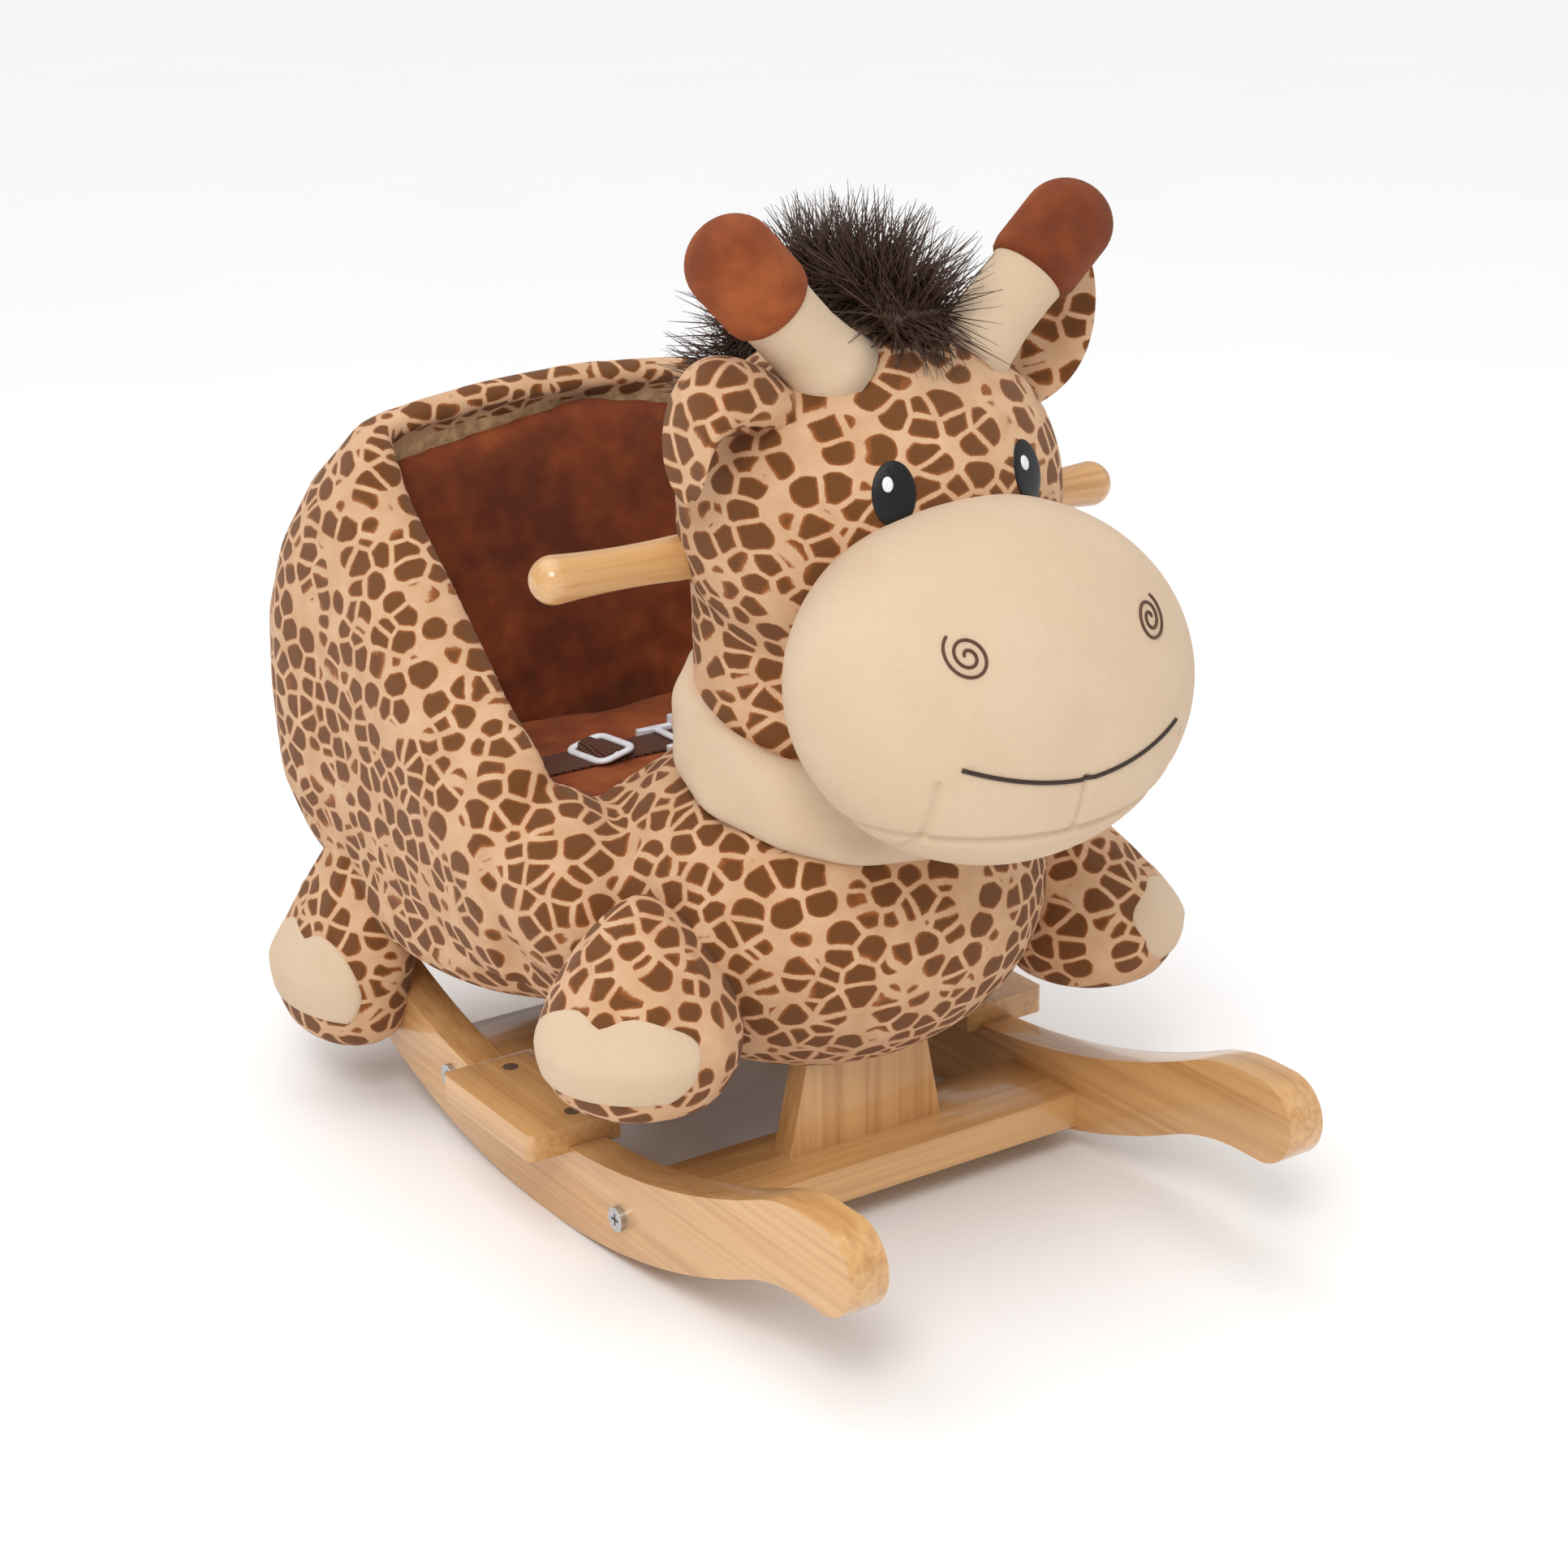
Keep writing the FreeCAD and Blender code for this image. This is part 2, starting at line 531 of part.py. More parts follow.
def wall_profile(inset, bottom):
    """Side view of the seat wall: high at the back, sloping to a low rounded front."""
    front, rear = inset, size("seat_back")
    return rounded_outline([
        (front, bottom, 0), (rear, bottom, 0), (rear, size("rim_rear_z") - inset * 1.25, 0),
        (size("rim_bend_y") + inset * 0.5, size("rim_bend_z") - inset, 50),
        (front, size("rim_front_z") - inset, 14)])


belt_slot = block("belt_slot", "seat_half - 5", f"{BOLSTER_IN} + 14", "belt_y - belt_width / 2 - 1.5",
                  "belt_y + belt_width / 2 + 1.5", "cushion_top + belt_lift - 1.2",
                  "cushion_top + belt_lift + belt_thick + 1.2")
wall_blank = slab("wall_blank", "YZ", wall_profile(size("rim_cap") + 0.5, size("chair_board_z")), WALL_IN,
                  "wall_board_thick")
left_wall = cut("left_wall", wall_blank, belt_slot)
node("side_board_left", left_wall)
node("side_board_right", mirrored("right_wall", left_wall))

board_top = size("back_top_z") - size("rim_cap") - 1
board_side_top = size("rim_rear_z") - size("rim_cap") * 1.25 - 1
node("back_board", slab("back_board_blank", "XZ", rounded_outline([
    (-wall_out, size("chair_board_z"), 0), (wall_out, size("chair_board_z"), 0),
    (wall_out, board_side_top, 30), (0, board_top, 0), (-wall_out, board_side_top, 30)]),
    BACK_BOARD_Y, "wall_board_thick"))

# ---------------------------------------------------------------- neck post, handle rod and grips
neck_blank = block("neck_blank", "-neck_post_half", "neck_post_half", "neck_post_y - neck_post_thick / 2",
                   "neck_post_y + neck_post_thick / 2", CHAIR_TOP, "neck_post_top")
rod_bore = rod("rod_bore", "rod_dia + 2 * fit_gap", "2 * neck_post_half + 2", "-neck_post_half - 1",
               "neck_post_y", "grip_z", ALONG_X)
node("neck_post", cut("neck_post_cut", neck_blank, rod_bore, *neck_pilots))
node("handle_rod", rod("handle_rod_bar", "rod_dia", "2 * rod_reach", "-rod_reach", "neck_post_y", "grip_z",
                       ALONG_X))


def grip_outline():
    """Half section of a turned grip: waist by the head, swelling to a round end."""
    inner = size("neck_post_half") + size("snug_gap")
    reach, end = size("grip_reach"), size("grip_bulge_dia") / 2
    root, waist = size("grip_dia") / 2, size("grip_waist_dia") / 2
    shoulder = size("head_half") - 5
    swell = reach - end
    return [
        Part.LineSegment(V(inner, 0, 0), V(inner, root, 0)),
        Part.LineSegment(V(inner, root, 0), V(shoulder, root, 0)),
        Part.Arc(V(shoulder, root, 0), V((shoulder + swell) / 2, waist, 0), V(swell, end, 0)),
        Part.Arc(V(swell, end, 0), V(swell + end * math.sqrt(0.5), end * math.sqrt(0.5), 0), V(reach, 0, 0)),
        Part.LineSegment(V(reach, 0, 0), V(inner, 0, 0))]


grip_drawing = doc.addObject("Sketcher::SketchObject", "grip_outline")
grip_drawing.addGeometry(grip_outline(), False)
grip_turned = doc.addObject("Part::Revolution", "grip_turned")
grip_turned.Source = grip_drawing
grip_turned.Axis, grip_turned.Base = V(1, 0, 0), V(0, 0, 0)
grip_turned.Angle = 360
grip_turned.Solid = True
place(grip_turned, 0, "neck_post_y", "grip_z")
grip_bore = rod("grip_bore", "rod_dia + 2 * snug_gap", "rod_reach - neck_post_half + 2", "neck_post_half - 1",
                "neck_post_y", "grip_z", ALONG_X)
left_grip = cut("left_grip", grip_turned, grip_bore)
node("grip_left", left_grip)
node("grip_right", mirrored("right_grip", left_grip))

# ---------------------------------------------------------------- stuffed barrel and chest
soft = size("soft_gap")


def chest(name, grow=0):
    return bun(name, size("chest_high"), size("chest_half"), 0, "chest_y", "chest_z", grow, UPRIGHT)


def barrel_plan(grow=0):
    """Outline of the barrel seen from above, set in a little from the back of the seat."""
    half, front, rear = size("barrel_half") + grow, size("barrel_front"), size("seat_rear") - 6 + grow
    turn = size("barrel_corner")
    return rounded_outline([
        (-half, front, turn), (half, front, turn), (half, rear, turn), (-half, rear, turn)])


barrel_blank = slab("barrel_blank", "XY", barrel_plan(), "belly_z", "chair_board_z - belly_z - soft_gap")
doc.recompute()
barrel = doc.addObject("Part::Fillet", "barrel")
barrel.Base = barrel_blank
radius = size("barrel_bottom_radius")
barrel.Edges = [(number, radius, radius) for number, edge in enumerate(barrel_blank.Shape.Edges, start=1)
                if abs(edge.BoundBox.ZMax - size("belly_z")) < 0.01]
SEAT_ZONE_X = "(seat_outer_half + 10)"
seat_zone = block("seat_zone", "-" + SEAT_ZONE_X, SEAT_ZONE_X, "-soft_gap", "seat_rear + 20",
                  "chair_board_z - soft_gap", "back_top_z + 20")
chest_side = block("chest_side", "-chest_half", "chest_half", "-soft_gap - 1", "seat_front",
                   "chair_board_z - soft_gap - 1", "back_top_z")
seat_space = cut("seat_space", seat_zone, chest_side)
tongue_pocket = block("tongue_pocket", "-chair_tongue_half - soft_gap", "chair_tongue_half + soft_gap",
                      "chair_tongue_front - soft_gap", "seat_front + 10", "chair_board_z - soft_gap",
                      CHAIR_TOP + " + soft_gap")
neck_pocket = block("neck_pocket", "-neck_post_half - soft_gap", "neck_post_half + soft_gap",
                    "neck_post_y - neck_post_thick / 2 - soft_gap",
                    "neck_post_y + neck_post_thick / 2 + soft_gap", CHAIR_TOP, "neck_post_top + soft_gap")
post_slots = [block(f"{end}_post_slot", "-post_foot_width / 2", "post_foot_width / 2",
                    f"{end}_post_y - post_thick / 2 - soft_gap", f"{end}_post_y + post_thick / 2 + soft_gap",
                    "belly_z - 10", "chair_board_z") for end, _, _ in BARS]
runner_relief = block("runner_relief", "runner_inside_half - soft_gap", RUNNER_OUT + " + soft_gap",
                      "runner_half_length / 2", "runner_half_length", "0", f"{toe_height()} + soft_gap")
body_blank = fuse("body_blank", chest("chest_bun"), barrel)
body = cut("body", body_blank, seat_space, tongue_pocket, neck_pocket, runner_relief,
           mirrored("other_runner_relief", runner_relief), *post_slots)
node("body_plush", body)

# ---------------------------------------------------------------- seat walls, linings and cushion
cap_depth = size("rim_cap")
outer_wall = slab("outer_wall", "YZ", wall_profile(0, size("chair_board_z")), "seat_half",
                  "seat_outer_half - seat_half")
inner_room = slab("inner_room", "YZ", wall_profile(cap_depth, size("chair_board_z") - 5), "seat_half - 1",
                  f"{BOLSTER_IN} - seat_half + 1")
side_cut = cut("left_bolster", outer_wall, inner_room, belt_slot)
node("side_bolster_left", side_cut)
node("side_bolster_right", mirrored("right_bolster", side_cut))

rear, top, bottom = size("seat_rear"), size("back_top_z"), size("chair_board_z")
back_side = slab("back_side", "YZ", rounded_outline([
    (size("seat_back") + soft, bottom, 0), (rear - 18, bottom, 10), (rear, bottom + 60, 60),
    (rear, top - 110, 60), (size("seat_back") + 46, top, 18), (size("seat_back") + soft, top, 10)]),
    "-seat_outer_half", "2 * seat_outer_half")
outer_half = size("seat_outer_half")
back_front = slab("back_front", "XZ", rounded_outline([
    (-outer_half, bottom - 1, 0), (outer_half, bottom - 1, 0), (outer_half, size("rim_rear_z"), 34),
    (0, top + 1, 0), (-outer_half, size("rim_rear_z"), 34)]), "seat_back - 5", "seat_rear - seat_back + 10")
back_plan = slab("back_plan", "XY", rounded_outline([
    (-outer_half, size("seat_back") - 5, 0), (outer_half, size("seat_back") - 5, 0), (outer_half, rear, 44),
    (-outer_half, rear, 44)]), "chair_board_z - 1", "back_top_z - chair_board_z + 5")
back_solid = common("back_solid", back_side, back_front, back_plan)
room_half = wall_out + soft
back_room = slab("back_room", "XZ", rounded_outline([
    (-room_half, bottom - 5, 0), (room_half, bottom - 5, 0), (room_half, board_side_top + 1, 30),
    (0, board_top + 1, 0), (-room_half, board_side_top + 1, 30)]),
    "seat_back - 1", "pad_thick + wall_board_thick + 1 + 2 * soft_gap")
node("back_bolster", cut("back_bolster_cut", back_solid, back_room))

lining_low = size("chair_board_z") + size("chair_board_thick") + soft
left_pad = cut("left_pad", slab("left_pad_blank", "YZ", wall_profile(cap_depth + 1, lining_low),
                                "seat_half + soft_gap", "pad_thick - soft_gap"), belt_slot)
node("side_lining_left", left_pad)
node("side_lining_right", mirrored("right_pad", left_pad))
node("back_lining", slab("back_lining_blank", "XZ", rounded_outline([
    (-chair_half, lining_low, 0), (chair_half, lining_low, 0), (chair_half, board_side_top - 1, 30),
    (0, board_top - 1, 0), (-chair_half, board_side_top - 1, 30)]),
    "seat_back + soft_gap", "pad_thick - soft_gap"))
cushion_blank = block("cushion_blank", "-seat_half", "seat_half", "seat_front + soft_gap", "seat_back",
                      f"{CHAIR_TOP} + soft_gap", "cushion_top")
node("seat_cushion", rounded("seat_cushion_round", cushion_blank, 6))

# ---------------------------------------------------------------- neck, head, collar and muzzle
def head_bun(name, grow=0):
    return bun(name, size("head_half"), size("head_high"), 0, "head_y", "head_z", grow, None, capsule_arcs)


def muzzle_bun(name, grow=0):
    return bun(name, size("muzzle_half"), size("muzzle_deep"), 0, "muzzle_y", "muzzle_z", grow, None,
               capsule_arcs)


def head_and_neck(name, grow=0):
    """Head on its neck, whose top stops inside the head, clear of the head's middle."""
    column = rod(name + "_neck", f"2 * (neck_half + {grow})", f"head_z - neck_sink - neck_z + {grow}", 0,
                 "neck_y", "neck_z")
    return fuse(name, head_bun(name + "_head", grow), column)


grip_sleeve = rod("grip_sleeve", "grip_dia + 2 * soft_gap", "2 * head_half + 20", "-head_half - 10",
                  "neck_post_y", "grip_z", ALONG_X)
head = cut("head_cut", head_and_neck("head_blank"), chest("chest_under_neck", soft), neck_pocket, grip_sleeve)
node("head_plush", head)

collar_turn = FreeCAD.Rotation(V(1, 0, 0), size("collar_tilt")).multiply(UPRIGHT)
collar_tube = bun("collar_tube", size("collar_high"), size("collar_half"), 0, "collar_y", "collar_z", 0,
                  collar_turn)
collar = cut("collar_cut", collar_tube, head_and_neck("neck_in_collar", soft),
             chest("chest_under_collar", soft), muzzle_bun("muzzle_over_collar", soft))
node("neck_collar", collar)
muzzle = cut("muzzle_cut", muzzle_bun("muzzle_blank"), head_and_neck("head_behind_muzzle", soft),
             chest("chest_under_muzzle", soft))
node("muzzle", muzzle)

# ---------------------------------------------------------------- face embroidery
def skin(name, maker, thick):
    """Thin layer standing on a stuffed shape."""
    return cut(name, maker(name + "_outer", soft + thick), maker(name + "_inner", soft))


eye_x, eye_z = size("eye_half_spacing"), size("head_z") + size("eye_rise")
eye_half, eye_tall = size("eye_width") / 2, size("eye_height") / 2
eye_outline = rounded_outline([(eye_x + across * eye_half, eye_z + up * eye_tall, eye_half * 0.95)
                               for across, up in ((-1, -1), (1, -1), (1, 1), (-1, 1))])
eye_slug = slab("eye_slug", "XZ", eye_outline, "head_y - head_high - 10", "head_high")
eye_whole = common("left_eye_whole", skin("eye_skin", head_bun, size("patch_thick")), eye_slug)
left_eye = cut("left_eye", eye_whole, muzzle_bun("muzzle_by_eye", soft))
group("eye_patches", both_sides([left_eye]))

# ---------------------------------------------------------------- horns, ears, mane
horn_turn = FreeCAD.Rotation(V(0, 1, 0), size("horn_lean"))
lean = math.radians(size("horn_lean"))
horn_dir = V(math.sin(lean), 0, math.cos(lean))
horn_root = V(size("horn_root_half"), size("horn_root_y"), size("horn_root_z"))


def along_horn(distance):
    point = horn_root + horn_dir * distance
    return point.x, point.y, point.z


shaft_end = size("horn_length")
shaft_blank = taper("shaft_blank", "horn_root_dia", "horn_neck_dia", "horn_length", *along_horn(0), horn_turn)
bulb_centre = shaft_end + size("bulb_dia") / 2 - size("bulb_overlap")
left_bulb = ball("left_bulb", "bulb_dia / 2", *along_horn(bulb_centre))
left_shaft = cut("left_shaft", shaft_blank, head_bun("head_under_horn", soft),
                 ball("bulb_socket", "bulb_dia / 2 + soft_gap", *along_horn(bulb_centre)))
node("horn_shaft_left", left_shaft)
node("horn_shaft_right", mirrored("right_shaft", left_shaft))
node("horn_bulb_left", left_bulb)
node("horn_bulb_right", mirrored("right_bulb", left_bulb))


def ear(name, side, rise):
    """Flat leaf-shaped ear, sewn to the side of the head and tipped up by the given angle."""
    tip, wide = size("ear_length") / 2, size("ear_width") / 2
    turn = FreeCAD.Rotation(V(0, 0, 1), rise if side > 0 else 180 - rise)
    centre = V(side * size("ear_root_half"), size("ear_root_z"), 0) + turn.multVec(V(tip * 0.8, 0, 0))

    def leaf(along, across):
        return centre + turn.multVec(V(along, across, 0))

    arcs = [Part.Arc(leaf(-tip, 0), leaf(-tip * 0.2, sign * wide), leaf(tip, 0)) for sign in (-1, 1)]
    blank = slab(name + "_blank", "XZ", arcs, "ear_y - ear_thick / 2", "ear_thick")
    return cut(name, blank, head_bun(name + "_head", soft))


node("ear_left", ear("left_ear", 1, size("ear_left_rise")))
node("ear_right", ear("right_ear", -1, size("ear_right_rise")))

mane_disc = rod("mane_disc", "2 * mane_radius", "2 * mane_half", "-mane_half", "head_y + 12", "head_z + 14",
                ALONG_X)
mane_keep = block("mane_keep", "-60", "60", "head_y - 38", "head_y + 200", "head_z - 38", "head_z + 200")
mane = cut("mane_cut", common("mane_kept", mane_disc, mane_keep), head_and_neck("head_under_mane", soft))
node("mane", mane)

# ---------------------------------------------------------------- feet
def front_foot(name, grow=0):
    return ball(name, f"foot_radius + {grow}", "front_foot_x", "front_foot_y", "front_foot_z")


def rear_foot(name, grow=0):
    return bun(name, size("rear_foot_half"), size("rear_foot_radius"), "rear_foot_x", "rear_foot_y",
               "rear_foot_z", grow)


left_front = cut("left_front_foot", front_foot("front_foot_blank"), chest("chest_beside_foot", soft))
node("foot_front_left", left_front)
node("foot_front_right", mirrored("right_front_foot", left_front))
runner_side = block("runner_side", "0", RUNNER_OUT + " + soft_gap", "-runner_half_length",
                    "runner_half_length", "-10", "runner_mid_height + 60")
barrel_around = slab("barrel_around", "XY", barrel_plan(soft), "belly_z - soft_gap",
                     "chair_board_z - belly_z + 40")
doc.recompute()
barrel_mould = doc.addObject("Part::Fillet", "barrel_mould")
barrel_mould.Base = barrel_around
barrel_mould.Edges = [(number, radius, radius)
                      for number, edge in enumerate(barrel_around.Shape.Edges, start=1)
                      if abs(edge.BoundBox.ZMax - size("belly_z") + size("soft_gap")) < 0.01]
left_rear = cut("left_rear_foot", rear_foot("rear_foot_blank"), runner_side, barrel_mould)
node("foot_rear_left", left_rear)
node("foot_rear_right", mirrored("right_rear_foot", left_rear))

toe_patches = [
    common("front_toe_patch", skin("front_toe_skin", front_foot, size("patch_thick")),
           ball("front_toe_slug", "toe_patch_half", "front_foot_x + 10", "front_foot_y - foot_radius",
                "front_foot_z - 4")),
    common("rear_toe_patch", skin("rear_toe_skin", rear_foot, size("patch_thick")),
           ball("rear_toe_slug", "toe_patch_half", "rear_foot_x + rear_foot_half", "rear_foot_y + 20",
                "rear_foot_z - 6"))]
group("toe_patches", both_sides(toe_patches))

# ---------------------------------------------------------------- lap belt
BELT_LOW = "cushion_top + belt_lift"
BELT_HIGH = BELT_LOW + " + belt_thick"
LOOP = "(belt_width / 2 + fit_gap)"


def strap(name, x_low, x_high):
    return block(name, x_low, x_high, "belt_y - belt_width / 2", "belt_y + belt_width / 2", BELT_LOW,
                 BELT_HIGH)


def web_frame(name, x_low, x_high):
    """Bowed three-bar frame: outer bars under the webbing, middle bar over it."""
    rails = [block(f"{name}_rail_{side}", x_low, x_high, f"belt_y + {near}", f"belt_y + {far}",
                   f"{BELT_LOW} - fit_gap - slide_thick", f"{BELT_HIGH} + fit_gap + slide_thick")
             for side, near, far in (("front", f"-{LOOP} - slide_bar", f"-{LOOP}"),
                                     ("back", LOOP, f"{LOOP} + slide_bar"))]
    across = (f"belt_y - {LOOP} - slide_bar", f"belt_y + {LOOP} + slide_bar")
    under = (f"{BELT_LOW} - fit_gap - slide_thick", f"{BELT_LOW} - fit_gap")
    over = (f"{BELT_HIGH} + fit_gap", f"{BELT_HIGH} + fit_gap + slide_thick")
    middle = f"(({x_low}) + ({x_high})) / 2"
    bars = [block(name + "_bar_1", x_low, f"({x_low}) + slide_bar", *across, *under),
            block(name + "_bar_2", f"{middle} - slide_bar / 2", f"{middle} + slide_bar / 2", *across, *over),
            block(name + "_bar_3", f"({x_high}) - slide_bar", x_high, *across, *under)]
    return fuse(name, *rails, *bars)


for side in ("right", "left"):
    node(f"belt_slide_{side}", web_frame(f"{side}_slide", f"{side}_slide_x - slide_length / 2",
                                         f"{side}_slide_x + slide_length / 2"))

BUCKLE_MID = f"({BELT_LOW} + belt_thick / 2)"
mouth_width = "(belt_width - 3)"
socket_end = "(buckle_mouth_x + buckle_length)"
socket_blank = rounded("socket_round", block("socket_block", "buckle_mouth_x", socket_end,
                       "belt_y - buckle_width / 2", "belt_y + buckle_width / 2",
                       f"{BUCKLE_MID} - buckle_thick / 2 + 2", f"{BUCKLE_MID} + buckle_thick / 2 + 2"), 2)
socket_mouth = block("socket_mouth", "buckle_mouth_x - 1", "buckle_mouth_x + tongue_depth + 6",
                     f"belt_y - {mouth_width} / 2 - fit_gap", f"belt_y + {mouth_width} / 2 + fit_gap",
                     f"{BUCKLE_MID} - tongue_thick / 2 + 2 - fit_gap",
                     f"{BUCKLE_MID} + tongue_thick / 2 + 2 + fit_gap")
socket_tail = block("socket_tail", f"{socket_end} - 12", f"{socket_end} + 1", f"belt_y - {LOOP}",
                    f"belt_y + {LOOP}", f"{BELT_LOW} - fit_gap", f"{BELT_HIGH} + fit_gap")
node("buckle_socket", cut("buckle_socket_cut", socket_blank, socket_mouth, socket_tail))
tongue_plate = block("tongue_plate", "buckle_mouth_x - 6", "buckle_mouth_x + tongue_depth",
                     f"belt_y - {mouth_width} / 2", f"belt_y + {mouth_width} / 2",
                     f"{BUCKLE_MID} - tongue_thick / 2 + 2", f"{BUCKLE_MID} + tongue_thick / 2 + 2")
tongue_relief = block("tongue_relief", "buckle_mouth_x + 3", "buckle_mouth_x + tongue_depth + 1",
                      "belt_y - 6", "belt_y + 6", f"{BUCKLE_MID} - 5", f"{BUCKLE_MID} + 9")
tongue_neck = block("tongue_neck", "buckle_mouth_x - 8", "buckle_mouth_x - 0.5",
                    "belt_y - buckle_width / 2 + 1", "belt_y + buckle_width / 2 - 1",
                    f"{BUCKLE_MID} - 3", f"{BUCKLE_MID} + buckle_thick / 2 + 2")
tongue_slot = block("tongue_slot", "buckle_mouth_x - 9", "buckle_mouth_x - 4", f"belt_y - {LOOP}",
                    f"belt_y + {LOOP}", f"{BELT_LOW} - fit_gap", f"{BELT_HIGH} + fit_gap")
tongue_frame = web_frame("tongue_frame", "buckle_mouth_x - 8 - slide_length * 0.7", "buckle_mouth_x - 7")
node("buckle_tongue", cut("buckle_tongue_cut", fuse("tongue_blank", tongue_plate, tongue_neck, tongue_frame),
                          tongue_relief, tongue_slot))
node("belt_right", strap("right_strap", "-belt_end", "buckle_mouth_x - 5"))
node("belt_left", strap("left_strap", f"{socket_end} - 11", "belt_end"))

# ---------------------------------------------------------------- checks and export
doc.recompute()
for item in doc.Objects:
    if "Invalid" in item.State or "Error" in item.State:
        raise RuntimeError(f"{item.Label} did not rebuild: {item.State}")
for name, item in nodes.items():
    if item.Shape.isNull() or not item.Shape.isValid():
        raise RuntimeError(f"{name} has no valid shape")
for name, item in nodes.items():
    item.Shape.exportStep(f"parts/{name}.step")
    box = item.Shape.BoundBox
    spans = "  ".join(f"{axis} {low:.0f}..{high:.0f}" for axis, low, high in (
        ("x", box.XMin, box.XMax), ("y", box.YMin, box.YMax), ("z", box.ZMin, box.ZMax)))
    print(f"{name:20s} solids {len(item.Shape.Solids)}  volume {item.Shape.Volume / 1000:8.1f} cm3  {spans}")
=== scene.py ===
import math

import bmesh
import bpy
import numpy as np
from mathutils import Matrix, Vector
from mathutils.bvhtree import BVHTree


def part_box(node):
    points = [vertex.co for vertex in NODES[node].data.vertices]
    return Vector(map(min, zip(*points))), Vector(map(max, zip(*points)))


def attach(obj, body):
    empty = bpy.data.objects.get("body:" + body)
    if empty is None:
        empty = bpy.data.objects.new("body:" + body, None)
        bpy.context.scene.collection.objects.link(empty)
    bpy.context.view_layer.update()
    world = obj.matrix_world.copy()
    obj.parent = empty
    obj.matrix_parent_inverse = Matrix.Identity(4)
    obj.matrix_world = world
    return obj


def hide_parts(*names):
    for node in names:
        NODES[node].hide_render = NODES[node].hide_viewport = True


# Plush giraffe rocker: a stuffed bucket seat animal on a varnished wooden rocking frame.
# Lengths are in metres, in the frame of the CAD: the giraffe faces -Y and its left side is +X.
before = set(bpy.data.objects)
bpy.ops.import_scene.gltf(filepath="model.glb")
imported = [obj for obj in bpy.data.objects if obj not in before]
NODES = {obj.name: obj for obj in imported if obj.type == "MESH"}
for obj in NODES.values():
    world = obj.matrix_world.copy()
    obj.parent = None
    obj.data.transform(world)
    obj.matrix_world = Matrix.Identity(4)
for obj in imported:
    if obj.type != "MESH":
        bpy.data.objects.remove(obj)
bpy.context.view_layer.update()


# ---------------------------------------------------------------- rocking frame
# Two bowed runners joined by two cross bars, with a tapered post on each bar and a footrest on each runner.
# Light solid wood, sanded round at the edges and finished with clear satin varnish.
# The bars are dowelled and bolted to the runners; the posts and footrests are screwed.
def tone(red, green, blue):
    """Linear colour from an 8-bit screen colour."""
    def straight(value):
        value /= 255
        return value / 12.92 if value <= 0.04045 else ((value + 0.055) / 1.055) ** 2.4
    return (straight(red), straight(green), straight(blue), 1)


class Finish:
    """A material under construction: its nodes, its links and its main shader."""

    def __init__(self, name, roughness):
        self.material = bpy.data.materials.new(name)
        self.material.use_nodes = True
        self.nodes = self.material.node_tree.nodes
        self.links = self.material.node_tree.links
        self.shader = self.nodes["Principled BSDF"]
        self.shader.inputs["Roughness"].default_value = roughness
        self.place = self.nodes.new("ShaderNodeTexCoord").outputs["Object"]

    def fill(self, socket, value):
        if isinstance(value, bpy.types.NodeSocket):
            self.links.new(value, socket)
        elif value is not None:
            socket.default_value = value

    def mapped(self, scale, turn=(0, 0, 0), source=None):
        node = self.nodes.new("ShaderNodeMapping")
        node.inputs["Scale"].default_value = scale
        node.inputs["Rotation"].default_value = turn
        self.links.new(source or self.place, node.inputs["Vector"])
        return node.outputs["Vector"]

    def noise(self, scale, detail=2, source=None, output="Fac"):
        node = self.nodes.new("ShaderNodeTexNoise")
        node.inputs["Scale"].default_value = scale
        node.inputs["Detail"].default_value = detail
        self.links.new(source or self.place, node.inputs["Vector"])
        return node.outputs[output]

    def maths(self, kind, first, second=None, third=None):
        node = self.nodes.new("ShaderNodeMath")
        node.operation = kind
        for socket, value in zip(node.inputs, (first, second, third)):
            self.fill(socket, value)
        return node.outputs[0]

    def shifted(self, source, by, amount):
        """A place moved by a colour-valued noise, centred on nothing."""
        node = self.nodes.new("ShaderNodeVectorMath")
        node.operation = "MULTIPLY_ADD"
        self.fill(node.inputs[0], by)
        node.inputs[1].default_value = (amount, amount, amount)
        self.fill(node.inputs[2], source)
        return node.outputs[0]

    def ramp(self, source, stops):
        node = self.nodes.new("ShaderNodeValToRGB")
        first, last = node.color_ramp.elements
        first.position, first.color = stops[0]
        last.position, last.color = stops[-1]
        for position, colour in stops[1:-1]:
            node.color_ramp.elements.new(position).color = colour
        self.links.new(source, node.inputs["Fac"])
        return node.outputs["Color"]

    def blend(self, amount, first, second):
        node = self.nodes.new("ShaderNodeMix")
        node.data_type = "RGBA"
        self.fill(node.inputs["Factor"], amount)
        self.fill(node.inputs["A"], first)
        self.fill(node.inputs["B"], second)
        return node.outputs["Result"]

    def bump(self, height, distance, strength, under=None):
        node = self.nodes.new("ShaderNodeBump")
        node.inputs["Distance"].default_value = distance
        node.inputs["Strength"].default_value = strength
        self.links.new(height, node.inputs["Height"])
        if under is not None:
            self.links.new(under, node.inputs["Normal"])
        self.links.new(node.outputs["Normal"], self.shader.inputs["Normal"])
        return node.outputs["Normal"]

    def colour(self, value):
        self.fill(self.shader.inputs["Base Color"], value)

    def sheen(self, weight, roughness, tint):
        self.shader.inputs["Sheen Weight"].default_value = weight
        self.shader.inputs["Sheen Roughness"].default_value = roughness
        self.shader.inputs["Sheen Tint"].default_value = tint


